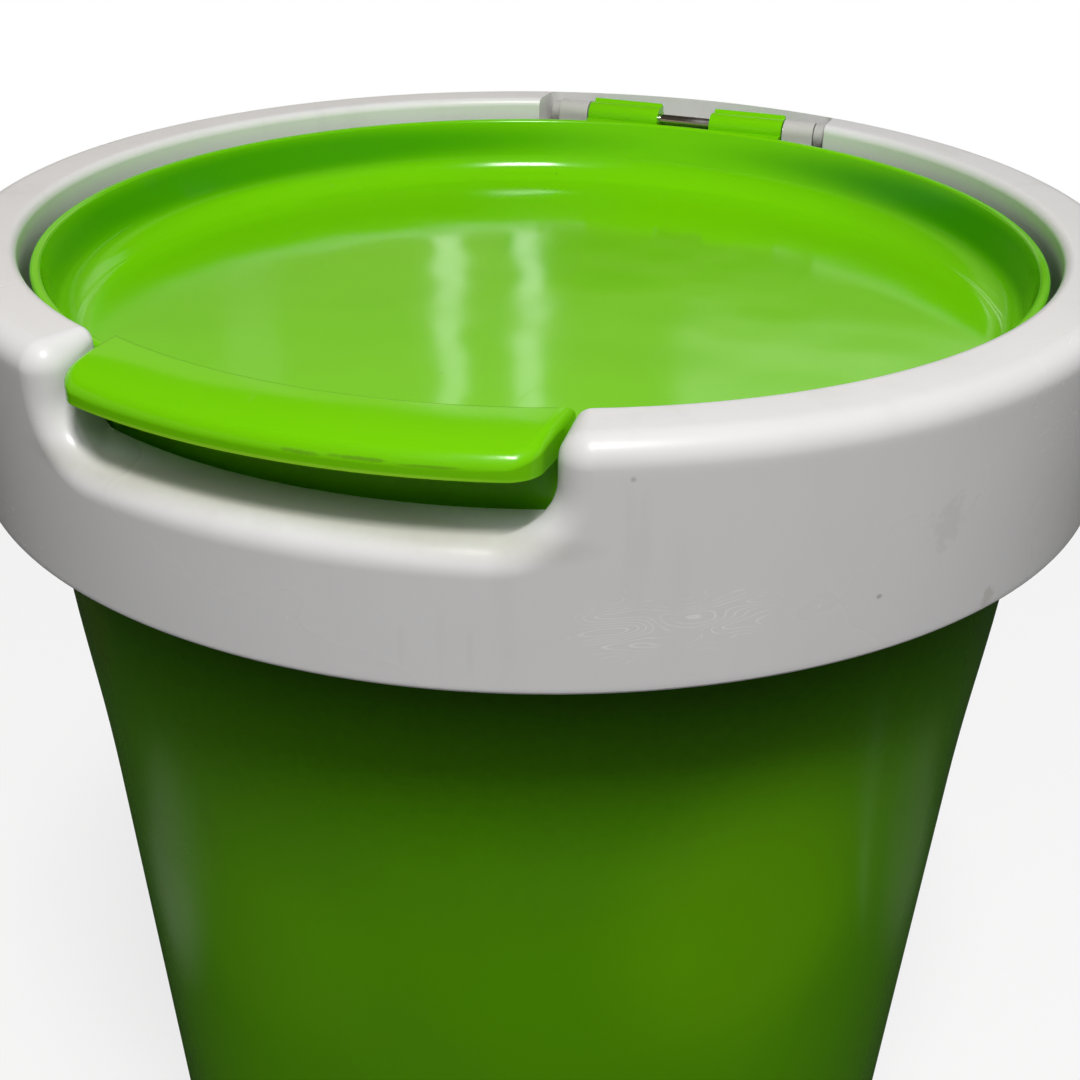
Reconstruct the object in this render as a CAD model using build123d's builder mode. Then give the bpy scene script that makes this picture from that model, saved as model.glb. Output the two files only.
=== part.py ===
from build123d import *
from math import cos, hypot, radians, sin
import os

os.makedirs("parts", exist_ok=True)

# A round lidded pail: tapered tub, deep collar over its rim, dished lid hinged at the back.
# Millimetres, +Z up, origin on the floor under the middle. The finger tab is at -Y, the hinge at +Y.

# Tub
foot_proud = 2.0  # how far the foot pads stand below the tub
tub_height = 300.0  # floor to the lower edge of the collar
tub_base_r = 111.6
tub_waist_r = 125.8  # where the straight taper turns into the flare
tub_waist_drop = 95.0  # waist below the lower edge of the collar
tub_wall = 2.4
tub_floor = 3.0
tub_base_round = 6.0
base_recess_r = 86.0
base_recess_depth = 3.0
rim_bead_r = 2.4
rim_overhang = 9.3  # rim bead beyond the neck

# Foot pads
foot_count = 4
foot_r = 8.0
foot_inset = 14.0  # pad centres inside the base radius
foot_socket_depth = 0.8
foot_edge = 0.6

# Collar cover
collar_outer_r = 150.0
collar_flare = 1.5  # growth of the outer radius from lower edge to top
collar_h = 56.0
collar_wall = 2.5
collar_width = 16.0  # outer radius less opening radius
collar_outer_round = 6.0
collar_inner_round = 2.5
skirt_gap = 5.0  # rim bead to the inside of the skirt

# Finger notch in the collar
tab_gap = 2.1  # tab end to the side of the notch
notch_sill = 7.0  # notch floor above the seat ring
notch_low_round = 12.0
notch_top_round = 6.4
notch_wall = 5.0  # wall round the notch, thick enough for its rounded edge

# Lid
lid_gap = 2.4  # lip to the collar opening
lip_drop = 6.0  # lip below the top of the collar
lip_round = 1.1
lid_depth = 18.0
lid_lean = 4.0  # how much narrower the dish is at its floor
lid_wall = 2.5
lid_skirt_h = 22.0
lid_skirt_wall = 2.0
dish_round = 9.0

# Finger tab on the lid
tab_half_w = 52.9
tab_setback = 2.0  # tab front inside the top outer radius of the collar
tab_rise = 4.0  # tab above the lip
tab_h = 7.5
tab_wall = 2.4
tab_round = 5.6
tab_corner_round = 7.0

# Seat ring and seal
seal_h = 3.2
seal_width = 4.5
seal_inset = 9.5  # seal inside the corner of the dish floor
seal_round = 1.0
seat_edge = 1.0  # ledge inside the seal
seat_thick = 2.5
seat_pad_h = 3.2
seat_pad_w = 10.0
seat_pad_count = 12
plug_wall = 2.5
plug_lift = 5.0  # end of the plug wall above the lower edge of the collar
plug_gap = 0.4

# Screws
screw_count = 6
screw_r = 1.5
screw_head_r = 3.0
screw_head_h = 1.8
screw_grip = 9.0  # thread inside the cover's bosses
hinge_screw_grip = 5.5  # thread inside the hinge block
screw_drive_r = 1.2
screw_drive_depth = 1.0
boss_wall = 2.4

# Hinge
pin_r = 2.0
barrel_wall = 2.0
hinge_setback = 3.4  # pin axis outside the lip
hinge_rise = 0.5  # pin axis above the lip
lid_open = 100.0  # degrees the lid turns before its heels meet the block
heel_w = 2.4
heel_rest = 52.0  # degrees below level of a heel that has met the block
knuckle_inner_x = 9.0
knuckle_length = 24.5
lug_gap = 0.5
lug_w = 10.0
cap_wall = 1.4
cap_length = 3.0
cap_end_wall = 1.0
block_plate = 3.0
block_gap = 1.2  # knuckle to the plate of the block
recess_side_gap = 1.7
recess_round = 3.0

# Clearances
fit = 0.3  # faces that rest or pass close by
slip = 0.05  # round pieces in their bores
screw_play = 0.2

# Heights
collar_z = tub_height
collar_top = collar_z + collar_h
lip_z = collar_top - lip_drop
dish_z = lip_z - lid_depth
seat_top = dish_z - lid_wall - fit - seal_h
seat_bottom = seat_top - seat_thick
rim_z = seat_bottom - seat_pad_h - fit
plug_bottom = collar_z + plug_lift
notch_z = seat_top + notch_sill
tab_top = lip_z + tab_rise
tab_bottom = tab_top - tab_h
waist_z = collar_z - tub_waist_drop
floor_z = foot_proud + tub_floor
axis_z = lip_z + hinge_rise

# Radii
collar_top_r = collar_outer_r + collar_flare
opening_r = collar_outer_r - collar_width
neck_r = collar_outer_r - collar_wall - skirt_gap - rim_overhang
lid_slope = lid_lean / lid_depth
lid_wall_flat = lid_wall * hypot(1, lid_slope)  # wall of the dish measured level
lip_r = opening_r - lid_gap
lip_inner_r = lip_r - lid_wall_flat
dish_r = lip_inner_r - lid_lean
tab_r = collar_top_r - tab_setback
seal_outer_r = dish_r - seal_inset
seal_inner_r = seal_outer_r - seal_width
seat_inner_r = seal_inner_r - seat_edge
seat_outer_r = collar_outer_r - collar_wall - fit
plug_r = neck_r - tub_wall - plug_gap
foot_ring_r = tub_base_r - foot_inset
screw_ring_r = (opening_r + collar_wall + seat_outer_r) / 2

# Hinge places
axis_y = lip_r + hinge_setback
barrel_r = pin_r + barrel_wall
cap_r = pin_r + cap_wall
knuckle_outer_x = knuckle_inner_x + knuckle_length
lug_inner_x = knuckle_outer_x + lug_gap
lug_outer_x = lug_inner_x + lug_w
lug_mid_x = lug_inner_x + lug_w / 2
cap_start_x = lug_outer_x + fit
cap_end_x = cap_start_x + cap_length
pin_end_x = cap_end_x - cap_end_wall - slip
recess_half = cap_end_x + recess_side_gap
lug_reach = hypot(lug_outer_x, axis_y + barrel_r)
cap_reach = hypot(cap_end_x, axis_y + cap_r)
recess_r = max(lug_reach, cap_reach) + 2 * fit
block_z = axis_z - barrel_r - block_gap - block_plate
heel_drop = barrel_r + block_gap - slip - heel_w / 2 * cos(radians(heel_rest))
heel_r = heel_drop / sin(radians(heel_rest))
notch_half = tab_half_w + tab_gap
notch_plane = Plane.XZ.offset(opening_r - notch_half)
tub_slope = (tub_waist_r - tub_base_r) / (waist_z - foot_proud)


def skirt_r(z):
    """Outer radius of the collar at height z."""
    return collar_outer_r + collar_flare * (z - collar_z) / collar_h


def draw_tub_side(inset, low_z):
    """Draw the side of the tub from low_z to the rim, moved in by inset."""
    low_r = tub_base_r + tub_slope * (low_z - foot_proud) - inset
    waist = (tub_waist_r - inset, waist_z)
    neck = (neck_r - inset, collar_z)
    Line((low_r, low_z), waist)
    TangentArc(waist, neck, tangent=(tub_slope, 1))
    Polyline(neck, (neck_r - inset, rim_z), (0, rim_z), (0, low_z), (low_r, low_z))


def draw_notch(grow):
    """Draw the outline of the finger notch, seen from the front, grown by a wall."""
    half = notch_half + grow
    sill = notch_z - grow
    shoulder = collar_top - notch_top_round
    open_x = half + notch_top_round
    above = collar_top + notch_top_round
    low_round = notch_low_round + grow
    corners = [(half, shoulder), (half, sill), (-half, sill), (-half, shoulder)]
    FilletPolyline(*corners, radius=[low_round, low_round])
    RadiusArc((-half, shoulder), (-open_x, collar_top), -notch_top_round)
    Polyline((-open_x, collar_top), (-open_x, above), (open_x, above), (open_x, collar_top))
    RadiusArc((open_x, collar_top), (half, shoulder), -notch_top_round)


def draw_recess(grow):
    """Draw the hinge recess seen from above, grown by a wall."""
    Circle(recess_r + grow)
    with Locations((0, recess_r)):
        Rectangle(2 * (recess_half + grow), recess_r, mode=Mode.INTERSECT)


def edges_at_radius(part, radius_at, above):
    """Pick the edges of a part that lie on a surface of revolution, above a height."""

    def lies_there(edge):
        points = [edge.position_at(share) for share in (0, 0.25, 0.5, 0.75, 1)]
        on_surface = all(abs(hypot(point.X, point.Y) - radius_at(point.Z)) < 0.02 for point in points)
        return on_surface and min(point.Z for point in points) > above

    return part.edges().filter_by(lies_there)


def edges_beyond(edges, radius):
    """Pick the edges whose middle lies outside a radius."""
    return edges.filter_by(lambda edge: hypot(edge.position_at(0.5).X, edge.position_at(0.5).Y) > radius)


def draw_tab(inset, inner_r):
    """Draw the finger tab seen from above, its outer edges moved in by inset."""
    Circle(tab_r - inset)
    with Locations((0, -tab_r)):
        Rectangle(2 * (tab_half_w - inset), 2 * (tab_r - lip_inner_r) + tab_half_w, mode=Mode.INTERSECT)
    Circle(inner_r, mode=Mode.SUBTRACT)


# Tub: one tapered shell with a raised middle in its base and a beaded rim
with BuildPart() as tub:
    with BuildSketch(Plane.XZ):
        with BuildLine():
            draw_tub_side(0, foot_proud)
        make_face()
    revolve(axis=Axis.Z)
    fillet(tub.edges().group_by(Axis.Z)[0], tub_base_round)
    with BuildSketch(Plane.XZ):
        with BuildLine():
            draw_tub_side(tub_wall, floor_z)
        make_face()
    revolve(axis=Axis.Z, mode=Mode.SUBTRACT)
    with BuildSketch(Plane.XY.offset(floor_z)):
        Circle(base_recess_r + tub_floor)
    extrude(amount=base_recess_depth)
    with BuildSketch(Plane.XY.offset(foot_proud)):
        Circle(base_recess_r)
    extrude(amount=base_recess_depth, mode=Mode.SUBTRACT)
    with BuildSketch(Plane.XZ):
        with Locations((neck_r + rim_overhang - rim_bead_r, rim_z - rim_bead_r)):
            Circle(rim_bead_r)
        with Locations((neck_r - tub_wall, rim_z - rim_bead_r)):
            Rectangle(tub_wall + rim_overhang - rim_bead_r, rim_bead_r, align=(Align.MIN, Align.MIN))
    revolve(axis=Axis.Z)
    with BuildSketch(Plane.XY.offset(foot_proud)):
        with PolarLocations(foot_ring_r, foot_count, start_angle=45):
            Circle(foot_r + slip)
    extrude(amount=foot_socket_depth, mode=Mode.SUBTRACT)
tub.part.label = "tub"
export_step(tub.part, "parts/tub.step")

# Foot pads: soft discs set into the underside of the tub
with BuildPart() as foot_pads:
    with BuildSketch():
        with PolarLocations(foot_ring_r, foot_count, start_angle=45):
            Circle(foot_r)
    extrude(amount=foot_proud + foot_socket_depth)
    chamfer(foot_pads.edges().group_by(Axis.Z)[0], foot_edge)
foot_pads.part.label = "foot_pads"
export_step(foot_pads.part, "parts/foot_pads.step")

# Hollow inside the collar cover
with BuildPart() as collar_hollow:
    with BuildSketch(Plane.XZ):
        ceiling = collar_top - collar_wall
        hollow_inner_r = opening_r + collar_wall
        hollow_outer_r = skirt_r(ceiling) - collar_wall
        Polygon(
            (hollow_inner_r, seat_bottom),
            (skirt_r(seat_bottom) - collar_wall, seat_bottom),
            (skirt_r(ceiling - collar_outer_round) - collar_wall, ceiling - collar_outer_round + collar_wall),
            (hollow_outer_r - collar_outer_round + collar_wall, ceiling),
            (hollow_inner_r + collar_inner_round, ceiling),
            (hollow_inner_r, ceiling - collar_inner_round),
            align=None,
        )
    revolve(axis=Axis.Z)
    with BuildSketch(notch_plane):
        with BuildLine():
            draw_notch(notch_wall)
        make_face()
    extrude(amount=2 * notch_half, mode=Mode.SUBTRACT)
    with BuildSketch(Plane.XY.offset(block_z - collar_wall)) as recess_plan:
        draw_recess(collar_wall)
        fillet(recess_plan.vertices().group_by(Axis.Y)[-1], recess_round)
    extrude(amount=collar_h, mode=Mode.SUBTRACT)

# Collar cover: inverted channel with the finger notch in front and the hinge recess behind
with BuildPart() as collar_cover:
    with BuildSketch(Plane.XZ):
        Polygon(
            (opening_r, seat_top),
            (skirt_r(seat_top) - collar_wall, seat_top),
            (collar_outer_r - collar_wall, collar_z),
            (collar_outer_r, collar_z),
            (collar_top_r, collar_top),
            (opening_r, collar_top),
            align=None,
        )
    revolve(axis=Axis.Z)
    with BuildSketch(notch_plane):
        with BuildLine():
            draw_notch(0)
        make_face()
    extrude(amount=2 * notch_half, mode=Mode.SUBTRACT)
    fillet(edges_at_radius(collar_cover, lambda z: opening_r, seat_top), collar_inner_round)
    fillet(edges_at_radius(collar_cover, skirt_r, collar_z), collar_outer_round)
    with BuildSketch(Plane.XY.offset(block_z)) as recess_plan:
        draw_recess(0)
        fillet(recess_plan.vertices().group_by(Axis.Y)[-1], recess_round)
    extrude(amount=collar_h, mode=Mode.SUBTRACT)
    add(collar_hollow.part, mode=Mode.SUBTRACT)
    with BuildSketch(Plane.XY.offset(seat_top)):
        with PolarLocations(screw_ring_r, screw_count):
            Circle(screw_r + boss_wall)
    extrude(amount=collar_top - collar_wall - seat_top)
    with BuildSketch(Plane.XY.offset(seat_top)):
        with PolarLocations(screw_ring_r, screw_count):
            Circle(screw_r + slip)
    extrude(amount=screw_grip + screw_r, mode=Mode.SUBTRACT)
    with BuildSketch(Plane.XY.offset(block_z)):
        with Locations((lug_mid_x, axis_y), (-lug_mid_x, axis_y)):
            Circle(screw_r + screw_play)
    extrude(amount=-2 * collar_wall, mode=Mode.SUBTRACT)
collar_cover.part.label = "collar_cover"
export_step(collar_cover.part, "parts/collar_cover.step")

# Seat ring: the ledge under the lid, with a plug wall inside the tub's neck and pads on its rim
with BuildPart() as seat_ring:
    with BuildSketch(Plane.XY.offset(seat_bottom)):
        Circle(seat_outer_r)
        Circle(seat_inner_r, mode=Mode.SUBTRACT)
        with PolarLocations(screw_ring_r, screw_count):
            Circle(screw_r + screw_play, mode=Mode.SUBTRACT)
    extrude(amount=seat_thick)
    with BuildSketch(Plane.XY.offset(plug_bottom)):
        Circle(plug_r)
        Circle(plug_r - plug_wall, mode=Mode.SUBTRACT)
    extrude(amount=seat_bottom - plug_bottom)
    with BuildSketch(Plane.XY.offset(rim_z + fit)):
        with PolarLocations(neck_r + rim_overhang / 2, seat_pad_count, start_angle=180 / seat_pad_count):
            Rectangle(rim_overhang, seat_pad_w)
    extrude(amount=seat_pad_h)
seat_ring.part.label = "seat_ring"
export_step(seat_ring.part, "parts/seat_ring.step")

# Screws that clamp the seat ring to the cover, heads below
with BuildPart() as collar_screws:
    with BuildSketch(Plane.XY.offset(seat_bottom - screw_head_h)):
        with PolarLocations(screw_ring_r, screw_count):
            Circle(screw_head_r)
    extrude(amount=screw_head_h)
    chamfer(collar_screws.edges().group_by(Axis.Z)[0], screw_head_h / 3)
    with BuildSketch(Plane.XY.offset(seat_bottom)):
        with PolarLocations(screw_ring_r, screw_count):
            Circle(screw_r)
    extrude(amount=seat_thick + screw_grip)
    with BuildSketch(Plane.XY.offset(seat_bottom - screw_head_h)):
        with PolarLocations(screw_ring_r, screw_count):
            RegularPolygon(screw_drive_r, 6)
    extrude(amount=screw_drive_depth, mode=Mode.SUBTRACT)
collar_screws.part.label = "collar_screws"
export_step(collar_screws.part, "parts/collar_screws.step")

# Lid seal: soft ring on the ledge
with BuildPart() as lid_seal:
    with BuildSketch(Plane.XZ) as seal_section:
        with Locations((seal_inner_r, seat_top)):
            Rectangle(seal_width, seal_h, align=(Align.MIN, Align.MIN))
        fillet(seal_section.vertices().group_by(Axis.Z)[-1], seal_round)
    revolve(axis=Axis.Z)
lid_seal.part.label = "lid_seal"
export_step(lid_seal.part, "parts/lid_seal.step")

# Hollow under the finger tab
with BuildPart() as tab_hollow:
    with BuildSketch(Plane.XY.offset(tab_bottom)) as hollow_plan:
        draw_tab(tab_wall, lip_r)
        fillet(hollow_plan.vertices().group_by(Axis.Y)[0], tab_corner_round - tab_wall)
    extrude(amount=tab_h - tab_wall)
    hollow_top = tab_hollow.faces().sort_by(Axis.Z)[-1]
    fillet(edges_beyond(hollow_top.edges(), lip_r + fit), tab_round - tab_wall)

# Lid: shallow dish with a finger tab in front and two hinge knuckles, with stop heels, behind
with BuildPart() as lid:
    with BuildSketch(Plane.XY.offset(tab_bottom)) as plan:
        draw_tab(0, dish_r)
        fillet(plan.vertices().group_by(Axis.Y)[0], tab_corner_round)
    extrude(amount=tab_h)
    tab_face = lid.faces().sort_by(Axis.Z)[-1]
    fillet(edges_beyond(tab_face.edges(), dish_r + fit), tab_round)
    add(tab_hollow.part, mode=Mode.SUBTRACT)
    with BuildSketch(Plane.XZ):
        with BuildLine():
            under_z = dish_z - lid_wall
            under_r = lip_r - lid_slope * (lip_z - under_z)
            FilletPolyline(
                (0, under_z),
                (under_r, under_z),
                (lip_r, lip_z),
                (0, lip_z),
                radius=[dish_round + lid_wall, lip_round],
            )
            Line((0, lip_z), (0, under_z))
        make_face()
        with Locations((lip_r, lip_z - lip_round)):
            Rectangle(lid_skirt_wall, lid_skirt_h - lip_round, align=(Align.MAX, Align.MAX))
    revolve(axis=Axis.Z)
    for side in (-1, 1):
        with BuildSketch(Plane.YZ.offset(side * knuckle_inner_x)):
            with Locations((axis_y, axis_z)):
                Circle(barrel_r)
                Rectangle(heel_r, heel_w, rotation=lid_open - heel_rest, align=(Align.MIN, Align.CENTER))
            with Locations((axis_y, lip_z)):
                Rectangle(axis_y - dish_r, barrel_r - hinge_rise, align=(Align.MAX, Align.MAX))
        extrude(amount=side * knuckle_length)
    with BuildSketch(Plane.XZ):
        with BuildLine():
            above_z = tab_top + tab_wall
            above_r = lip_inner_r + lid_slope * (above_z - lip_z)
            FilletPolyline((0, dish_z), (dish_r, dish_z), (above_r, above_z), radius=[dish_round])
            Polyline((above_r, above_z), (0, above_z), (0, dish_z))
        make_face()
    revolve(axis=Axis.Z, mode=Mode.SUBTRACT)
    with BuildSketch(Plane.YZ.offset(-recess_half)):
        with Locations((axis_y, axis_z)):
            Circle(pin_r + slip)
    extrude(amount=2 * recess_half, mode=Mode.SUBTRACT)
lid.part.label = "lid"
export_step(lid.part, "parts/lid.step")

# Hinge block: plate in the collar's recess with a lug at each end for the pin
with BuildPart() as hinge_block:
    with BuildSketch(Plane.XY.offset(block_z)) as block_plan:
        draw_recess(-fit)
        fillet(block_plan.vertices().group_by(Axis.Y)[-1], recess_round)
        Circle(opening_r + fit, mode=Mode.SUBTRACT)
    extrude(amount=block_plate)
    for side in (-1, 1):
        with BuildSketch(Plane.YZ.offset(side * lug_inner_x)):
            with Locations((axis_y, axis_z)):
                Circle(barrel_r)
                Rectangle(2 * barrel_r, axis_z - block_z, align=(Align.CENTER, Align.MAX))
        extrude(amount=side * lug_w)
    with BuildSketch(Plane.YZ.offset(-recess_half)):
        with Locations((axis_y, axis_z)):
            Circle(pin_r + slip)
    extrude(amount=2 * recess_half, mode=Mode.SUBTRACT)
    with BuildSketch(Plane.XY.offset(block_z)):
        with Locations((lug_mid_x, axis_y), (-lug_mid_x, axis_y)):
            Circle(screw_r + slip)
    extrude(amount=hinge_screw_grip + fit, mode=Mode.SUBTRACT)
hinge_block.part.label = "hinge_block"
export_step(hinge_block.part, "parts/hinge_block.step")

# Screws that hold the hinge block, from inside the collar
with BuildPart() as hinge_screws:
    head_z = block_z - collar_wall - screw_head_h
    with BuildSketch(Plane.XY.offset(head_z)):
        with Locations((lug_mid_x, axis_y), (-lug_mid_x, axis_y)):
            Circle(screw_head_r)
    extrude(amount=screw_head_h)
    chamfer(hinge_screws.edges().group_by(Axis.Z)[0], screw_head_h / 3)
    with BuildSketch(Plane.XY.offset(block_z - collar_wall)):
        with Locations((lug_mid_x, axis_y), (-lug_mid_x, axis_y)):
            Circle(screw_r)
    extrude(amount=collar_wall + hinge_screw_grip)
    with BuildSketch(Plane.XY.offset(head_z)):
        with Locations((lug_mid_x, axis_y), (-lug_mid_x, axis_y)):
            RegularPolygon(screw_drive_r, 6)
    extrude(amount=screw_drive_depth, mode=Mode.SUBTRACT)
hinge_screws.part.label = "hinge_screws"
export_step(hinge_screws.part, "parts/hinge_screws.step")

# Hinge pin: steel rod through the lugs and knuckles
with BuildPart() as hinge_pin:
    with BuildSketch(Plane.YZ.offset(-pin_end_x)):
        with Locations((axis_y, axis_z)):
            Circle(pin_r)
    extrude(amount=2 * pin_end_x)
hinge_pin.part.label = "hinge_pin"
export_step(hinge_pin.part, "parts/hinge_pin.step")

# Pin caps: push-on caps that keep the pin from sliding out
with BuildPart() as pin_caps:
    for side in (-1, 1):
        with BuildSketch(Plane.YZ.offset(side * cap_start_x)):
            with Locations((axis_y, axis_z)):
                Circle(cap_r)
        extrude(amount=side * cap_length)
    chamfer(pin_caps.edges().group_by(Axis.X)[0] + pin_caps.edges().group_by(Axis.X)[-1], cap_end_wall / 2)
    with BuildSketch(Plane.YZ.offset(-pin_end_x - slip)):
        with Locations((axis_y, axis_z)):
            Circle(pin_r + slip)
    extrude(amount=2 * (pin_end_x + slip), mode=Mode.SUBTRACT)
pin_caps.part.label = "pin_caps"
export_step(pin_caps.part, "parts/pin_caps.step")
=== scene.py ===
"""Studio scene of a round lidded pail: green tub, pale collar and a dished green lid on a hinge."""

from __future__ import annotations

import logging
import math
from dataclasses import dataclass
from enum import Enum
from typing import Sequence

import bmesh
import bpy
from mathutils import Matrix, Vector

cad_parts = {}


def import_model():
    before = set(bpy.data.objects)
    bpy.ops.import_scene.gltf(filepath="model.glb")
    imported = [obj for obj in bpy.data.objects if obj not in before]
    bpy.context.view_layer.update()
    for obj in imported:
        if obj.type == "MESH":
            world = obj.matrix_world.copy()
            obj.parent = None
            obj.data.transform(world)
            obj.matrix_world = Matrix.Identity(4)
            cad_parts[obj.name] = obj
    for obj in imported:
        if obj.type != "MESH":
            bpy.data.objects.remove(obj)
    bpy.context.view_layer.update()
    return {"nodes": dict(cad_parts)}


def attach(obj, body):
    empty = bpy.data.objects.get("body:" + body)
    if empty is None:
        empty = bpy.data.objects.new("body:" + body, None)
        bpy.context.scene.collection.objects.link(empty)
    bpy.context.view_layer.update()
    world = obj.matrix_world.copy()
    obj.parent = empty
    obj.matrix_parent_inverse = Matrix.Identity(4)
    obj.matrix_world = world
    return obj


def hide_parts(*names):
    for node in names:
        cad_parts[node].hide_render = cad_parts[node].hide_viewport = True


LOG = logging.getLogger("pail")
CENTRE = (0.0, 0.0, 0.0)
UPRIGHT = (0.0, 0.0, 1.0)
AROUND = 240  # pieces of a full turn
MERGE = 1e-7  # metres within which points are doubled
LEVEL = 1e-6  # metres within which a point lies on a plane
SEAM = 2e-6  # metres within which points are doubled after a join or a cut
CREASE = math.radians(38.0)  # edges that bend by less are shaded smooth

Colour = tuple[float, float, float]
Place = tuple[float, float, float]
Levels = tuple[float, float]
Row = list[Vector]


class Gloss(Enum):
    """How rough a surface is, by the name of its moulded or machined finish."""

    POLISHED = 0.09
    GLOSSY = 0.16
    SATIN = 0.27
    RUBBER = 0.72


class Body(Enum):
    """The moving bodies of the pail."""

    TUB = "tub"
    COLLAR = "collar"
    LID = "lid"


def polar(r: float, bearing: float, z: float) -> Vector:
    """Gives the point at a distance from the axis, a bearing from the front towards +X and a height."""
    return Vector((r * math.sin(bearing), -r * math.cos(bearing), z))


@dataclass(frozen=True)
class Corner:
    """A corner of a turned outline, with the radius that rounds it off."""

    r: float
    z: float
    rounding: float = 0.0


def cut_corner(shape: bmesh.types.BMesh, corner: bmesh.types.BMVert, reach: float, steps: int) -> None:
    """Rounds a corner of an outline off, by the length of its edges that goes.

    Args:
        shape: The shape that holds the outline.
        corner: The corner, where two edges meet.
        reach: How far the rounding goes along each edge in metres.
        steps: Pieces that the rounding is divided into.
    """
    bmesh.ops.bevel(
        shape,
        geom=[corner],
        offset=reach,
        offset_type="OFFSET",
        segments=steps,
        profile=0.5,
        affect="VERTICES",
        material=-1,
    )


def round_corner(shape: bmesh.types.BMesh, corner: bmesh.types.BMVert, radius: float, steps: int) -> None:
    """Rounds a corner of an outline off to a radius.

    Args:
        shape: The shape that holds the outline.
        corner: The corner, where two edges meet.
        radius: Radius of the rounding in metres.
        steps: Pieces that the rounding is divided into.
    """
    arms = [edge.other_vert(corner).co - corner.co for edge in corner.link_edges]
    cut_corner(shape, corner, radius / math.tan(arms[0].angle(arms[1]) / 2), steps)


def turned(corners: Sequence[Corner], arc_steps: int = 6) -> bmesh.types.BMesh:
    """Spins an outline round the upright axis.

    Args:
        corners: The outline's corners, from the axis back to the axis or to the first corner.
        arc_steps: Pieces that each rounded corner is divided into.

    Returns:
        A closed shell.
    """
    shape = bmesh.new()
    points = [shape.verts.new((corner.r, 0.0, corner.z)) for corner in corners]
    for pair in zip(points, points[1:]):
        shape.edges.new(pair)
    for point, corner in zip(points, corners):
        if corner.rounding:
            round_corner(shape, point, corner.rounding, arc_steps)
    bmesh.ops.spin(
        shape,
        geom=shape.verts[:] + shape.edges[:],
        cent=CENTRE,
        axis=UPRIGHT,
        angle=2 * math.pi,
        steps=AROUND,
        use_merge=True,
    )
    close(shape)
    return shape


def close(shape: bmesh.types.BMesh) -> None:
    """Merges doubled points and turns all faces outwards."""
    bmesh.ops.remove_doubles(shape, verts=shape.verts[:], dist=MERGE)
    bmesh.ops.recalc_face_normals(shape, faces=shape.faces[:])


def skinned(rows: Sequence[Row]) -> bmesh.types.BMesh:
    """Grows a shell from a closed row of points by extruding it to each next row.

    Args:
        rows: Closed rows with the same number of points, the last one equal to the first.

    Returns:
        A closed shell.
    """
    shape = bmesh.new()
    front = [shape.verts.new(point) for point in rows[0]]
    edges = [shape.edges.new(pair) for pair in zip(front, front[1:] + front[:1])]
    for row in rows[1:]:
        grown = bmesh.ops.extrude_edge_only(shape, edges=edges)["geom"]
        fresh = {item for item in grown if isinstance(item, bmesh.types.BMVert)}
        following = []
        for old, point in zip(front, row):
            new = next(edge.other_vert(old) for edge in old.link_edges if edge.other_vert(old) in fresh)
            new.co = point
            following.append(new)
        front = following
        edges = [item for item in grown if isinstance(item, bmesh.types.BMEdge)]
        edges = [edge for edge in edges if all(vert in fresh for vert in edge.verts)]
    close(shape)
    return shape


def level_face(shape: bmesh.types.BMesh, z: float) -> bmesh.types.BMFace:
    """Finds the largest face that lies level at a height.

    Args:
        shape: The shape to search.
        z: Height in metres.

    Returns:
        The face.
    """
    level = [face for face in shape.faces if all(abs(vert.co.z - z) < LEVEL for vert in face.verts)]
    return max(level, key=lambda face: face.calc_area())


def round_edges(
    shape: bmesh.types.BMesh, edges: Sequence[bmesh.types.BMEdge], radius: float, steps: int
) -> None:
    """Rounds edges off.

    Args:
        shape: The shape that holds the edges.
        edges: The edges to round.
        radius: Radius of the rounding in metres.
        steps: Pieces that the rounding is divided into.
    """
    bmesh.ops.bevel(
        shape,
        geom=list(edges),
        offset=radius,
        offset_type="OFFSET",
        segments=steps,
        profile=0.5,
        affect="EDGES",
        material=-1,
        clamp_overlap=True,
    )


def sweep(shape: bmesh.types.BMesh, r: float, middle: float, swing: float, z: float, steps: int) -> None:
    """Draws a level arc round the upright axis.

    Args:
        shape: The shape that gets the arc.
        r: Radius of the arc in metres.
        middle: Bearing of its middle in radians.
        swing: Angle from its middle to either end in radians.
        z: Height in metres.
        steps: Pieces that the arc is divided into.
    """
    start = shape.verts.new(polar(r, middle - swing, z))
    bmesh.ops.spin(shape, geom=[start], cent=CENTRE, axis=UPRIGHT, angle=2 * swing, steps=steps)


def push_face(shape: bmesh.types.BMesh, face: bmesh.types.BMFace, rise: float, keep: bool) -> None:
    """Extrudes a face straight up or down.

    Args:
        shape: The shape that holds the face.
        face: The face.
        rise: How far up it goes in metres, or down where negative.
        keep: True where the face also stays at its first place.
    """
    grown = bmesh.ops.extrude_face_region(shape, geom=[face], use_keep_orig=keep)["geom"]
    moved = [item for item in grown if isinstance(item, bmesh.types.BMVert)]
    bmesh.ops.translate(shape, verts=moved, vec=(0.0, 0.0, rise))


def slice_at(shape: bmesh.types.BMesh, place: Place, facing: Place) -> None:
    """Cuts a shape's faces along a plane, given by a point and its direction, and keeps both sides."""
    everything = shape.verts[:] + shape.edges[:] + shape.faces[:]
    bmesh.ops.bisect_plane(shape, geom=everything, dist=LEVEL, plane_co=place, plane_no=facing)


def block(size: Place, middle: Place) -> bmesh.types.BMesh:
    """Makes a block.

    Args:
        size: Its three lengths in metres.
        middle: Its middle.

    Returns:
        The block.
    """
    shape = bmesh.new()
    bmesh.ops.create_cube(shape, size=1.0)
    bmesh.ops.scale(shape, vec=size, verts=shape.verts[:])
    bmesh.ops.translate(shape, vec=middle, verts=shape.verts[:])
    return shape


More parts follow.
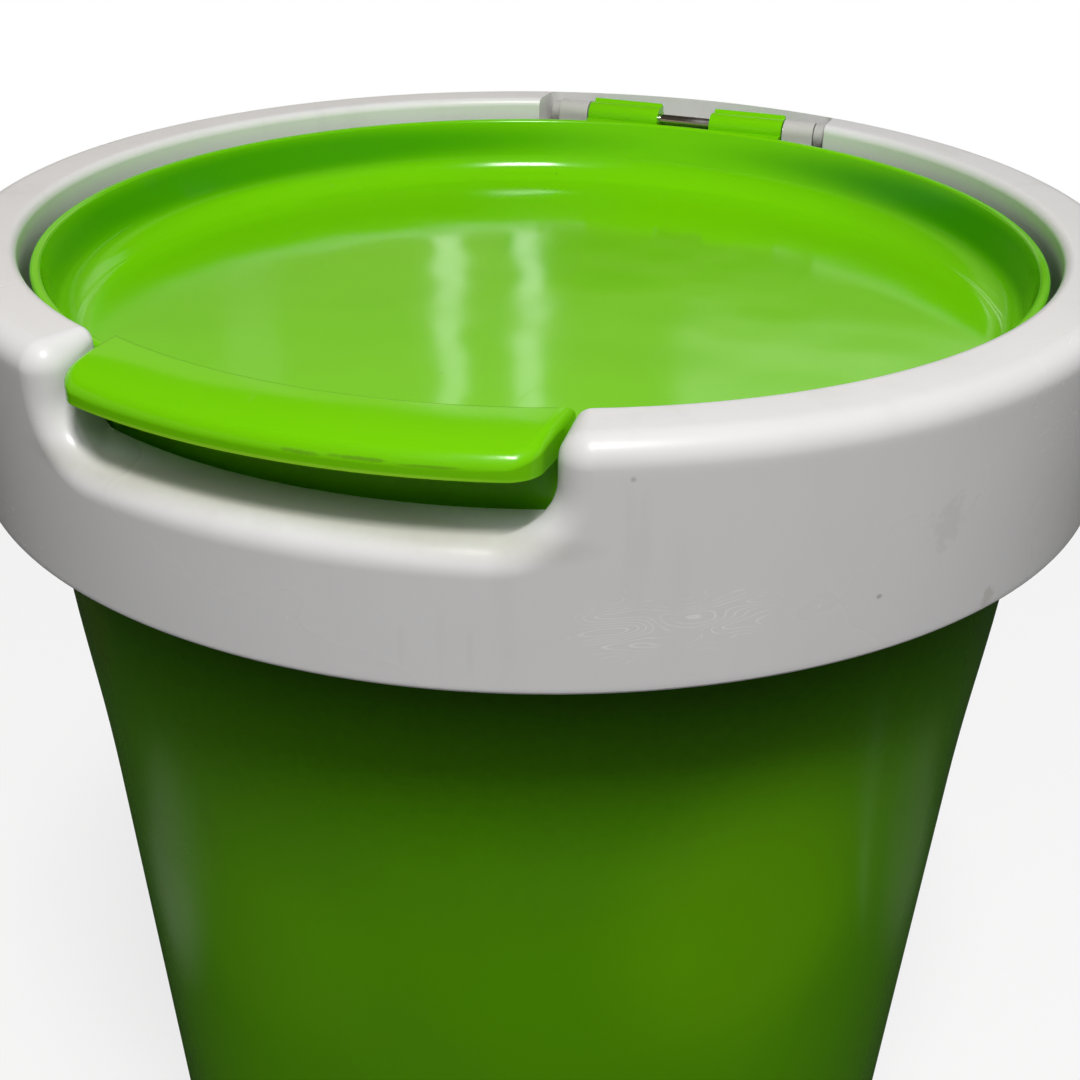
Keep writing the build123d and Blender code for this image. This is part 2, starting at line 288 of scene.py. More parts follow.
def as_object(name: str, shape: bmesh.types.BMesh) -> bpy.types.Object:
    """Puts a shape into the scene.

    Args:
        name: Name of the object.
        shape: The shape, which is freed.

    Returns:
        The object, smooth except at its creases.
    """
    mesh = bpy.data.meshes.new(name)
    soften(shape)
    shape.to_mesh(mesh)
    shape.free()
    piece = bpy.data.objects.new(name, mesh)
    bpy.context.scene.collection.objects.link(piece)
    return piece


def soften(shape: bmesh.types.BMesh) -> None:
    """Shades a shape smooth, with sharp edges where it creases.

    Args:
        shape: The shape to shade.
    """
    for face in shape.faces:
        face.smooth = True
    for edge in shape.edges:
        edge.smooth = edge.calc_face_angle(0.0) < CREASE


class MarkKind(Enum):
    """The look of a placed mark, by the output of the group that draws it."""

    SMUDGE_AND_PAINTED_LIGHT = "Mark"
    # A soft patch, drawn both for smudges and for painted shade and painted light.
    SWIRL = "Arcs"


class Join(Enum):
    """What a tool shape does to the piece that it works on."""

    ADD = "UNION"
    CUT = "DIFFERENCE"


def work(piece: bpy.types.Object, tools: Sequence[bmesh.types.BMesh], join: Join) -> None:
    """Adds tool shapes to a piece or cuts them from it.

    Args:
        piece: The piece, whose mesh is changed.
        tools: The tool shapes, which are freed.
        join: What the tools do.
    """
    for shape in tools:
        tool = as_object("tool", shape)
        step = piece.modifiers.new("join", "BOOLEAN")
        step.operation = join.value
        step.object = tool
        step.solver = "EXACT"
        solid = bpy.data.meshes.new_from_object(piece.evaluated_get(bpy.context.evaluated_depsgraph_get()))
        piece.modifiers.clear()
        piece.data = solid
        bpy.data.objects.remove(tool)
    shape = bmesh.new()
    shape.from_mesh(piece.data)
    bmesh.ops.remove_doubles(shape, verts=shape.verts[:], dist=SEAM)
    bmesh.ops.dissolve_degenerate(shape, edges=shape.edges[:], dist=SEAM)
    soften(shape)
    shape.to_mesh(piece.data)
    shape.free()
    piece.data.name = piece.name


def even_shading(piece: bpy.types.Object) -> None:
    """Keeps flat faces flat beside small roundings.

    Args:
        piece: The piece to shade.
    """
    shading = piece.modifiers.new("even shading", "WEIGHTED_NORMAL")
    shading.mode = "FACE_AREA"
    shading.keep_sharp = True


class Sheet:
    """A node tree with short calls that add and join its nodes."""

    def __init__(self, tree: bpy.types.NodeTree) -> None:
        """Keeps the tree that the nodes go into."""
        self.tree = tree

    def add(self, kind: str, inputs: dict | None = None, **settings: object) -> bpy.types.Node:
        """Adds a node.

        Args:
            kind: The node's type name.
            inputs: Values or sockets for its inputs, by name or number.
            settings: Other properties of the node.

        Returns:
            The node.
        """
        node = self.tree.nodes.new(kind)
        for key, value in settings.items():
            setattr(node, key, value)
        self.fill(node, inputs or {})
        return node

    def fill(self, node: bpy.types.Node, inputs: dict) -> None:
        """Sets a node's inputs to values or joins them to sockets.

        Args:
            node: The node.
            inputs: Values or sockets for its inputs, by name or number.
        """
        for key, value in inputs.items():
            if isinstance(value, bpy.types.NodeSocket):
                self.tree.links.new(value, node.inputs[key])
            else:
                node.inputs[key].default_value = value

    def math(self, operation: str, *values: object) -> bpy.types.NodeSocket:
        """Adds a Math node and gives its value."""
        return self.add("ShaderNodeMath", dict(enumerate(values)), operation=operation).outputs[0]

    def vector(self, operation: str, *values: object) -> bpy.types.Node:
        """Adds a Vector Math node."""
        return self.add("ShaderNodeVectorMath", dict(enumerate(values)), operation=operation)

    def ease(self, value: object, levels: Levels) -> bpy.types.NodeSocket:
        """Eases a value from 0 at the first level to 1 at the second."""
        inputs = {"Value": value, "From Min": levels[0], "From Max": levels[1]}
        return self.add("ShaderNodeMapRange", inputs, interpolation_type="SMOOTHSTEP").outputs["Result"]

    def mix(self, share: object, first: object, second: object) -> bpy.types.NodeSocket:
        """Mixes two colours, with a share of the second."""
        return self.add("ShaderNodeMix", {0: share, 6: first, 7: second}, data_type="RGBA").outputs[2]

    def mix_values(self, share: object, first: object, second: object) -> bpy.types.NodeSocket:
        """Mixes two values, with a share of the second."""
        return self.add("ShaderNodeMix", {0: share, 2: first, 3: second}).outputs[0]

    def mix_shaders(self, share: object, first: object, second: object) -> bpy.types.NodeSocket:
        """Mixes two shaders, with a share of the second."""
        return self.add("ShaderNodeMixShader", {0: share, 1: first, 2: second}).outputs[0]

    def tint(self, colour: object, mask: object, share: float, tint: Colour) -> bpy.types.NodeSocket:
        """Lays a share of a tint over a colour where the mask is."""
        return self.mix(self.math("MULTIPLY", mask, share), colour, (*tint, 1.0))

    def noise(self, place: object, scale: object, detail: float = 2.0) -> bpy.types.NodeSocket:
        """Adds a noise and gives its value."""
        inputs = {"Vector": place, "Scale": scale, "Detail": detail}
        return self.add("ShaderNodeTexNoise", inputs).outputs["Fac"]

    def stretched(self, place: object, stretch: Place, turn: Place = CENTRE) -> bpy.types.NodeSocket:
        """Turns and stretches coordinates."""
        inputs = {"Vector": place, "Rotation": turn, "Scale": stretch}
        return self.add("ShaderNodeMapping", inputs).outputs["Vector"]

    def on_piece(self) -> bpy.types.NodeSocket:
        """Gives the coordinates on the piece itself."""
        return self.add("ShaderNodeTexCoord").outputs["Object"]


def sheet_of(owner: bpy.types.Material | bpy.types.World) -> Sheet:
    """Switches the nodes of a material or a world on and gives them."""
    owner.use_nodes = True
    return Sheet(owner.node_tree)


@dataclass(frozen=True)
class Socket:
    """A named socket of a node group."""

    name: str
    kind: str = "NodeSocketFloat"


class Effect:
    """A shader node group that several finishes share."""

    name: str = ""
    takes: tuple[Socket, ...] = ()
    gives: tuple[Socket, ...] = ()

    def tree(self) -> bpy.types.NodeTree:
        """Gives the group, which is built at its first use.

        Returns:
            The group.
        """
        ready = bpy.data.node_groups.get(self.name)
        if ready:
            return ready
        group = bpy.data.node_groups.new(self.name, "ShaderNodeTree")
        for way, sockets in (("INPUT", self.takes), ("OUTPUT", self.gives)):
            for socket in sockets:
                group.interface.new_socket(socket.name, in_out=way, socket_type=socket.kind)
        sheet = Sheet(group)
        sheet.add("NodeGroupOutput", self.draw(sheet, sheet.add("NodeGroupInput").outputs))
        return group

    def draw(self, sheet: Sheet, given: bpy.types.NodeOutputs) -> dict[str, bpy.types.NodeSocket]:
        """Draws the group's nodes.

        Args:
            sheet: The group's nodes.
            given: The group's inputs.

        Returns:
            What goes to each of the group's outputs.
        """
        raise NotImplementedError

    def use(self, sheet: Sheet, **values: object) -> bpy.types.NodeOutputs:
        """Places the group in a material.

        Args:
            sheet: The material's nodes.
            values: Values for the group's inputs, with _ for a space.

        Returns:
            The group's outputs.
        """
        inputs = {key.replace("_", " "): value for key, value in values.items()}
        return sheet.add("ShaderNodeGroup", inputs, node_tree=self.tree()).outputs


class MouldedSkin(Effect):
    """Height of a moulded face: slow sink waves and a fine grain."""

    name = "moulded_skin"
    takes = (Socket("Wave Scale"), Socket("Wave Height"), Socket("Grain Scale"), Socket("Grain Height"))
    gives = (Socket("Height"),)
    wave_detail: float = 1.0
    grain_detail: float = 2.0

    def draw(self, sheet: Sheet, given: bpy.types.NodeOutputs) -> dict[str, bpy.types.NodeSocket]:
        """Adds waves and grain.

        Args:
            sheet: The group's nodes.
            given: The group's inputs.

        Returns:
            The height.
        """
        place = sheet.on_piece()
        wave = sheet.noise(place, given["Wave Scale"], self.wave_detail)
        grain = sheet.noise(place, given["Grain Scale"], self.grain_detail)
        wave = sheet.math("MULTIPLY", wave, given["Wave Height"])
        grain = sheet.math("MULTIPLY", grain, given["Grain Height"])
        return {"Height": sheet.math("ADD", wave, grain)}


class HandlingWear(Effect):
    """Masks of what use leaves: clouds of grime, dried drips, flecks of dirt and hairline scratches."""

    name = "handling_wear"
    takes = (Socket("Cloud Scale"), Socket("Fleck Scale"), Socket("Hairline Scale"))
    gives = (Socket("Clouds"), Socket("Drips"), Socket("Flecks"), Socket("Hairlines"))
    cloud_detail: float = 4.0
    cloud_levels: Levels = (0.42, 0.72)
    fleck_levels: Levels = (0.035, 0.014)
    fleck_chance: float = 0.72
    drip_scale: float = 110.0
    drip_detail: float = 3.0
    drip_stretch: Place = (1.0, 1.0, 0.14)
    drip_levels: Levels = (0.5, 0.72)
    hairline_turns: tuple[Place, Place] = ((0.5, 0.2, 0.9), (0.1, 1.1, 2.2))
    hairline_detail: float = 1.0
    hairline_stretch: Place = (1.0, 0.04, 1.0)
    hairline_levels: Levels = (0.68, 0.74)
    patch_scale: float = 34.0
    patch_levels: Levels = (0.5, 0.66)

    def draw(self, sheet: Sheet, given: bpy.types.NodeOutputs) -> dict[str, bpy.types.NodeSocket]:
        """Draws the four masks.

        Args:
            sheet: The group's nodes.
            given: The group's inputs.

        Returns:
            The masks.
        """
        place = sheet.on_piece()
        clouds = sheet.ease(sheet.noise(place, given["Cloud Scale"], self.cloud_detail), self.cloud_levels)
        cells = sheet.add("ShaderNodeTexVoronoi", {"Vector": place, "Scale": given["Fleck Scale"]}).outputs
        dots = sheet.ease(cells["Distance"], self.fleck_levels)
        chance = sheet.add("ShaderNodeSeparateColor", {"Color": cells["Color"]}).outputs["Red"]
        flecks = sheet.math("MULTIPLY", dots, sheet.math("GREATER_THAN", chance, self.fleck_chance))
        runs = sheet.noise(sheet.stretched(place, self.drip_stretch), self.drip_scale, self.drip_detail)
        drips = sheet.math("MULTIPLY", sheet.ease(runs, self.drip_levels), clouds)
        hairlines = self.hairlines(sheet, place, given["Hairline Scale"])
        return {"Clouds": clouds, "Drips": drips, "Flecks": flecks, "Hairlines": hairlines}

    def hairlines(
        self, sheet: Sheet, place: bpy.types.NodeSocket, scale: bpy.types.NodeSocket
    ) -> bpy.types.NodeSocket:
        """Draws long thin scratches in two directions.

        Args:
            sheet: The group's nodes.
            place: Coordinates on the piece.
            scale: How fine the scratches are.

        Returns:
            The mask of the scratches.
        """
        lines = []
        for turn in self.hairline_turns:
            along = sheet.stretched(place, self.hairline_stretch, turn)
            lines.append(sheet.ease(sheet.noise(along, scale, self.hairline_detail), self.hairline_levels))
        patches = sheet.ease(sheet.noise(place, self.patch_scale), self.patch_levels)
        return sheet.math("MULTIPLY", sheet.math("MAXIMUM", *lines), patches)


class PlacedMark(Effect):
    """Mask of one ragged mark at a place on the piece."""

    name = "placed_mark"
    takes = (Socket("Centre", "NodeSocketVector"), Socket("Reach", "NodeSocketVector"), Socket("Ragged"))
    gives = (Socket("Mark"), Socket("Arcs"))
    rag_scale: float = 420.0
    rim_levels: Levels = (1.0, 0.35)
    arc_scale: float = 150.0
    arc_detail: float = 1.0
    arc_stretch: Place = (0.3, 0.3, 1.0)
    arc_count: float = 17.0
    arc_levels: Levels = (0.13, 0.03)
    middle: float = 0.5

    def draw(self, sheet: Sheet, given: bpy.types.NodeOutputs) -> dict[str, bpy.types.NodeSocket]:
        """Fades from the centre to the reach, with a ragged rim.

        Args:
            sheet: The group's nodes.
            given: The group's inputs.

        Returns:
            The mask of the mark, and of thin arcs within it.
        """
        place = sheet.on_piece()
        apart = sheet.vector("SUBTRACT", place, given["Centre"]).outputs["Vector"]
        share = sheet.vector("DIVIDE", apart, given["Reach"]).outputs["Vector"]
        far = sheet.vector("LENGTH", share).outputs["Value"]
        rag = sheet.math("SUBTRACT", sheet.noise(place, self.rag_scale), self.middle)
        far = sheet.math("ADD", far, sheet.math("MULTIPLY", rag, given["Ragged"]))
        mark = sheet.ease(far, self.rim_levels)
        waves = sheet.noise(sheet.stretched(place, self.arc_stretch), self.arc_scale, self.arc_detail)
        bands = sheet.math("FRACT", sheet.math("MULTIPLY", waves, self.arc_count))
        off_line = sheet.math("ABSOLUTE", sheet.math("SUBTRACT", bands, self.middle))
        lines = sheet.ease(off_line, self.arc_levels)
        return {"Mark": mark, "Arcs": sheet.math("MULTIPLY", lines, mark)}


SKIN = MouldedSkin()
WEAR = HandlingWear()
MARK = PlacedMark()


@dataclass(frozen=True)
class Mark:
    """A mark at a place on the object, such as a smudge, or a patch of painted shade or painted light."""

    centre: Vector
    reach: Place
    colour: Colour
    strength: float
    ragged: float = 0.8
    kind: MarkKind = MarkKind.SMUDGE_AND_PAINTED_LIGHT


def painted(sheet: Sheet, colour: object, marks: Sequence[Mark]) -> object:
    """Paints marks over a colour.

    Args:
        sheet: The material's nodes.
        colour: The colour below the marks, or its socket.
        marks: The marks, the last one on top.

    Returns:
        The colour with its marks.
    """
    for mark in marks:
        spot = MARK.use(sheet, Centre=mark.centre, Reach=mark.reach, Ragged=mark.ragged)
        colour = sheet.tint(colour, spot[mark.kind.value], mark.strength, mark.colour)
    return colour


@dataclass(frozen=True, kw_only=True)
class Finish:
    """A finish by its colour and gloss, its wear, and the waves and grain of its skin."""

    name: str
    colour: Colour
    gloss: Gloss
    cloud_scale: float = 9.0
    cloud_dulling: float = 0.1
    fleck_scale: float = 55.0
    hairline_scale: float = 800.0
    wave_scale: float = 18.0
    wave_height: float = 0.00012
    grain_scale: float = 900.0
    grain_height: float = 0.000004

    def material(self) -> bpy.types.Material:
        """Builds the finish.

        Returns:
            The material.
        """
        material = bpy.data.materials.new(self.name)
        sheet = sheet_of(material)
        wear = WEAR.use(
            sheet,
            Cloud_Scale=self.cloud_scale,
            Fleck_Scale=self.fleck_scale,
            Hairline_Scale=self.hairline_scale,
        )
        skin = SKIN.use(
            sheet,
            Wave_Scale=self.wave_scale,
            Wave_Height=self.wave_height,
            Grain_Scale=self.grain_scale,
            Grain_Height=self.grain_height,
        )
        bump = sheet.add("ShaderNodeBump", {"Height": skin["Height"], "Distance": 1.0})
        inputs = {
            "Base Color": self.coloured(sheet, wear),
            "Roughness": self.roughened(sheet, wear),
            "Normal": bump.outputs["Normal"],
            **self.fixed(),
        }
        sheet.fill(sheet.tree.nodes["Principled BSDF"], inputs)
        return material

    def fixed(self) -> dict[str, float]:
        """Gives the shader's values that are the same all over."""
        return {}

    def coloured(self, sheet: Sheet, wear: bpy.types.NodeOutputs) -> bpy.types.NodeSocket:
        """Lays the wear over the colour.

        Args:
            sheet: The material's nodes.
            wear: The masks of the wear.

        Returns:
            The worn colour.
        """
        raise NotImplementedError

    def roughened(self, sheet: Sheet, wear: bpy.types.NodeOutputs) -> bpy.types.NodeSocket:
        """Dulls the gloss where the clouds of grime are."""
        return sheet.math("MULTIPLY_ADD", wear["Clouds"], self.cloud_dulling, self.gloss.value)


@dataclass(frozen=True, kw_only=True)
class Plastic(Finish):
    """A moulded plastic with a second shade, grime, drips, flecks, scratches and placed marks."""

    deep: Colour
    specular: float = 0.4
    shade_scale: float = 6.0
    shade_detail: float = 3.0
    shade_levels: Levels = (0.35, 0.7)
    grime: Colour = (0.2, 0.17, 0.12)
    grime_share: float = 0.06
    fleck_share: float = 0.5
    scratch: Colour = (0.8, 0.8, 0.78)
    scratch_share: float = 0.1
    drip_share: float = 0.0
    marks: tuple[Mark, ...] = ()

    def fixed(self) -> dict[str, float]:
        """Gives the strength of the reflections."""
        return {"Specular IOR Level": self.specular}

    def coloured(self, sheet: Sheet, wear: bpy.types.NodeOutputs) -> bpy.types.NodeSocket:
        """Lays grime, drips, scratches, flecks and marks over the two shades.

        Args:
            sheet: The material's nodes.
            wear: The masks of the wear.

        Returns:
            The worn colour.
        """
        shade = sheet.noise(sheet.on_piece(), self.shade_scale, self.shade_detail)
        colour = sheet.mix(sheet.ease(shade, self.shade_levels), (*self.colour, 1.0), (*self.deep, 1.0))
        layers = (
            ("Clouds", self.grime_share, self.grime),
            ("Drips", self.drip_share, self.grime),
            ("Hairlines", self.scratch_share, self.scratch),
            ("Flecks", self.fleck_share, self.grime),
        )
        for mask, share, tint in layers:
            colour = sheet.tint(colour, wear[mask], share, tint)
        return painted(sheet, colour, self.marks)

    def roughened(self, sheet: Sheet, wear: bpy.types.NodeOutputs) -> bpy.types.NodeSocket:
        """Dulls the gloss in the scratches too."""
        dulled = super().roughened(sheet, wear)
        return sheet.math("MULTIPLY_ADD", wear["Hairlines"], self.scratch_share, dulled)


@dataclass(frozen=True, kw_only=True)
class Metal(Finish):
    """A bright metal with dull patches and a fine grain."""

    cloud_scale: float = 80.0
    cloud_dulling: float = 0.2
    cloud_share: float = 0.5
    dull_share: float = 0.6
    fleck_scale: float = 300.0
    hairline_scale: float = 1600.0
    wave_scale: float = 200.0
    wave_height: float = 0.00001
    grain_scale: float = 600.0
    grain_height: float = 0.00001

    def fixed(self) -> dict[str, float]:
        """Makes the shader a metal's."""
        return {"Metallic": 1.0}

    def coloured(self, sheet: Sheet, wear: bpy.types.NodeOutputs) -> bpy.types.NodeSocket:
        """Lays dull patches over the colour."""
        dull = tuple(self.dull_share * part for part in self.colour)
        return sheet.tint((*self.colour, 1.0), wear["Clouds"], self.cloud_share, dull)


def at(bearing: float, r: float, z: float) -> Vector:
    """Places a mark by its bearing in degrees, its distance from the axis and its height."""
    return polar(r, math.radians(bearing), z)


DIRT: Colour = (0.13, 0.09, 0.05)
OLIVE: Colour = (0.075, 0.11, 0.012)
SCUFF: Colour = (0.98, 0.98, 0.97)
RUN: Colour = (0.5, 0.46, 0.42)
WALL_SHADE: Colour = (0.02, 0.26, 0.0006)
WALL_REACH: Place = (0.13, 0.17, 0.0085)
COLLAR_FACE = 0.1505
TAB_FACE = 0.149

# The tub's green is set darker than the lid's. Part of the difference is painted shade, for the tub's
# shaded look.
TUB_GREEN = Plastic(
    name="tub green, partly painted shade",
    colour=(0.107, 0.367, 0.001),
    deep=(0.09, 0.315, 0.0008),
    gloss=Gloss.GLOSSY,
    specular=0.16,
    wave_scale=14.0,
    wave_height=0.0002,
    grime=(0.09, 0.12, 0.03),
    grime_share=0.12,
    fleck_share=0.35,
    scratch=(0.3, 0.5, 0.16),
    scratch_share=0.03,
    drip_share=0.12,
    marks=(
        # Painted shade below the collar, two paler patches of painted light, and a darker patch of painted
        # reflection.
        Mark(Vector((0.0, 0.0, 0.302)), (0.3, 0.3, 0.078), (0.025, 0.1, 0.0006), 0.88, 0.1),
        Mark(at(46.0, 0.128, 0.212), (0.05, 0.05, 0.062), (0.15, 0.44, 0.001), 0.75, 0.0),
        Mark(at(-12.0, 0.127, 0.195), (0.045, 0.045, 0.05), (0.13, 0.42, 0.001), 0.6, 0.0),
        Mark(at(-38.0, 0.130, 0.275), (0.022, 0.022, 0.03), (0.10, 0.22, 0.001), 0.6, 0.4),
    ),
)
LID_GREEN = Plastic(
    name="lime green plastic",
    colour=(0.184, 0.63, 0.0015),
    deep=(0.168, 0.595, 0.001),
    gloss=Gloss.POLISHED,
    specular=0.3,
    wave_scale=26.0,
    wave_height=0.00036,
    grime=(0.10, 0.16, 0.02),
    grime_share=0.06,
    fleck_share=0.35,
    scratch=(0.4, 0.62, 0.25),
    scratch_share=0.04,
    marks=(
        # Painted shade on the dish's wall on both sides.
        Mark(Vector((0.1, 0.035, 0.3436)), WALL_REACH, WALL_SHADE, 0.85, 0.0),
        Mark(Vector((-0.1, 0.035, 0.3436)), WALL_REACH, WALL_SHADE, 0.7, 0.0),
        # A painted highlight along the tab's lower edge, three smears of dirt above it and a speck.
        Mark(Vector((0.0, -0.146, 0.3468)), (0.085, 0.014, 0.0006), (0.34, 0.72, 0.03), 0.8, 0.2),
        Mark(at(3.5, TAB_FACE, 0.3492), (0.005, 0.004, 0.0006), OLIVE, 0.35, 1.2),
        Mark(at(8.3, TAB_FACE, 0.3494), (0.008, 0.004, 0.0005), OLIVE, 0.4, 1.2),
        Mark(at(13.2, TAB_FACE, 0.3490), (0.009, 0.004, 0.0004), OLIVE, 0.35, 1.0),
        Mark(at(21.1, TAB_FACE, 0.3528), (0.0012, 0.002, 0.001), DIRT, 0.5),
    ),
)
COLLAR_WHITE = Plastic(
    name="warm white plastic",
    colour=(0.82, 0.808, 0.806),
    deep=(0.785, 0.77, 0.763),
    gloss=Gloss.SATIN,
    specular=0.42,
    wave_scale=15.0,
    wave_height=0.00018,
    grime=(0.32, 0.29, 0.24),
    grime_share=0.08,
    fleck_share=0.5,
    scratch=SCUFF,
    scratch_share=0.015,
    drip_share=0.1,
    marks=(
        # Painted shade on the sill under the tab.
        Mark(Vector((0.0, -0.1400, 0.3330)), (0.08, 0.0108, 0.006), (0.34, 0.33, 0.2), 0.5, 0.1),
        # Three specks and two smudges.
        Mark(at(27.7, COLLAR_FACE, 0.348), (0.0011, 0.0011, 0.0011), DIRT, 0.75, 0.3),
        Mark(at(-21.8, COLLAR_FACE, 0.3531), (0.0012, 0.0012, 0.0009), DIRT, 0.75, 0.3),
        Mark(at(48.7, COLLAR_FACE, 0.3142), (0.001, 0.001, 0.0008), DIRT, 0.4, 0.6),
        Mark(at(54.9, COLLAR_FACE, 0.3273), (0.005, 0.005, 0.008), (0.4, 0.31, 0.22), 0.12, 2.0),
        Mark(at(62.0, COLLAR_FACE, 0.3032), (0.0025, 0.0025, 0.004), (0.33, 0.26, 0.18), 0.25, 1.6),
        # Two swirls of fine scuffs and three dried runs.
        Mark(at(27.6, COLLAR_FACE, 0.3149), (0.012, 0.012, 0.009), SCUFF, 0.7, 1.2, MarkKind.SWIRL),
        Mark(at(35.2, COLLAR_FACE, 0.3164), (0.013, 0.013, 0.008), SCUFF, 0.7, 1.2, MarkKind.SWIRL),
        Mark(at(10.8, COLLAR_FACE, 0.3096), (0.0012, 0.0012, 0.008), RUN, 0.07, 1.4),
        Mark(at(13.9, COLLAR_FACE, 0.3124), (0.0015, 0.0015, 0.010), RUN, 0.05, 1.4),
        Mark(at(16.1, COLLAR_FACE, 0.3088), (0.0011, 0.0011, 0.007), RUN, 0.08, 1.4),
    ),
)
INNER_WHITE = Plastic(
    name="pale grey plastic",
    colour=(0.60, 0.585, 0.56),
    deep=(0.56, 0.545, 0.52),
    gloss=Gloss.SATIN,
    grime=(0.3, 0.27, 0.22),
    grime_share=0.15,
)
CAP_PLASTIC = Plastic(
    name="pale nylon",
    colour=(0.55, 0.54, 0.52),
    deep=(0.5, 0.49, 0.47),
    gloss=Gloss.SATIN,
    grime_share=0.12,
)
SEAL_RUBBER = Plastic(
    name="soft grey rubber",
    colour=(0.085, 0.09, 0.09),
    deep=(0.07, 0.075, 0.075),
    gloss=Gloss.RUBBER,
    specular=0.25,
    grain_height=0.00002,
    grime=(0.25, 0.24, 0.22),
    grime_share=0.2,
    scratch_share=0.02,
)
FOOT_RUBBER = Plastic(
    name="dark foot rubber",
    colour=(0.014, 0.014, 0.014),
    deep=(0.010, 0.010, 0.010),
    gloss=Gloss.RUBBER,
    specular=0.25,
    grain_height=0.00002,
    grime=(0.2, 0.19, 0.17),
    grime_share=0.2,
    scratch_share=0.02,
)
SCREW_STEEL = Metal(name="zinc plated steel", colour=(0.56, 0.57, 0.58), gloss=Gloss.SATIN)
PIN_STEEL = Metal(name="drawn steel", colour=(0.62, 0.62, 0.62), gloss=Gloss.GLOSSY)


def dress(piece: bpy.types.Object, finish: Finish) -> None:
    """Gives a piece its finish.

    Args:
        piece: The object to dress.
        finish: The finish, whose material is built at its first use.
    """
    material = bpy.data.materials.get(finish.name) or finish.material()
    piece.data.materials.clear()
    piece.data.materials.append(material)


def install(piece: bpy.types.Object, body: Body, node: str) -> None:
    """Puts a new piece in the place of a CAD node.

    Args:
        piece: The new piece.
        body: The body that it rides on.
        node: The node that it stands for.
    """
    even_shading(piece)
    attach(piece, body.value)
    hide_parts(node)
    LOG.info("%s: %d faces, rides on %s", piece.name, len(piece.data.polygons), body.value)


@dataclass
class Tub:
    """The tapered tub with its flared neck and rolled rim."""

    base_r: float = 0.1116
    base_z: float = 0.002
    base_round: float = 0.006
    recess_r: float = 0.086
    recess_z: float = 0.005
    recess_lean: float = 0.001
    recess_round: float = 0.001
    floor_z: float = 0.008
    waist_r: float = 0.1258
    waist_z: float = 0.205
    neck_r: float = 0.1332
    neck_z: float = 0.300
    neck_round: float = 0.0005
    mouth_round: float = 0.0009
    rim_z: float = 0.320
    rim_r: float = 0.1425
    rim_bead: float = 0.0024
    bead_depth: float = 1.7
    bead_root: float = 0.0004
    bead_edge: float = 0.0009
    bead_round: float = 0.0022
    wall: float = 0.0024
    flare_pull: float = 2.4
    flare_steps: int = 14

    def flare(self, inset: float) -> list[Corner]:
        """Draws the flare from the tapered side to the upright neck.

        Args:
            inset: How far inside the outer face it runs.

        Returns:
            Points of an arc that leaves the side and the neck without a kink.
        """
        low = Vector((self.waist_r, self.waist_z))
        high = Vector((self.neck_r, self.neck_z))
        side = (low - Vector((self.base_r, self.base_z))).normalized()
        reach = (high - low).length / self.flare_pull
        near = low + side * reach
        far = high - Vector((0.0, 1.0)) * reach
        points = []
        for step in range(self.flare_steps + 1):
            done = step / self.flare_steps
            left = 1 - done
            point = low * left**3 + near * 3 * done * left**2 + far * 3 * done**2 * left + high * done**3
            points.append(Corner(point.x - inset, point.y))
        return points

    def build(self) -> bpy.types.Object:
        """Turns the tub.

        Returns:
            The tub.
        """
        web_z = self.rim_z - self.rim_bead
        bead_z = self.rim_z - 2 * self.rim_bead
        bead_r = self.rim_r - self.bead_depth * self.rim_bead
        outline = [
            Corner(0.0, self.recess_z),
            Corner(self.recess_r, self.recess_z, self.recess_round),
            Corner(self.recess_r + self.recess_lean, self.base_z, self.recess_round),
            Corner(self.base_r, self.base_z, self.base_round),
            *self.flare(0.0),
            Corner(self.neck_r, web_z, self.neck_round),
            Corner(bead_r, web_z, self.bead_root),
            Corner(bead_r, bead_z, self.bead_edge),
            Corner(self.rim_r, bead_z, self.bead_round),
            Corner(self.rim_r, self.rim_z, self.bead_round),
            Corner(self.neck_r - self.wall, self.rim_z, self.mouth_round),
            *reversed(self.flare(self.wall)),
            Corner(self.base_r - self.wall, self.floor_z, self.base_round),
            Corner(0.0, self.floor_z),
        ]
        return as_object("tub_shell", turned(outline))

    def dress(self, shell: bpy.types.Object) -> None:
        """Gives the tub its green and its place."""
        dress(shell, TUB_GREEN)
        install(shell, Body.TUB, "tub")


@dataclass(frozen=True)
class Station:
    """A place along the collar's upper rim, seen from the front.

    The share is None in the notch, and on the round rim it is the way from the notch to the back.
    """

    x: float
    z: float
    into_x: float
    into_z: float
    share: float | None = None


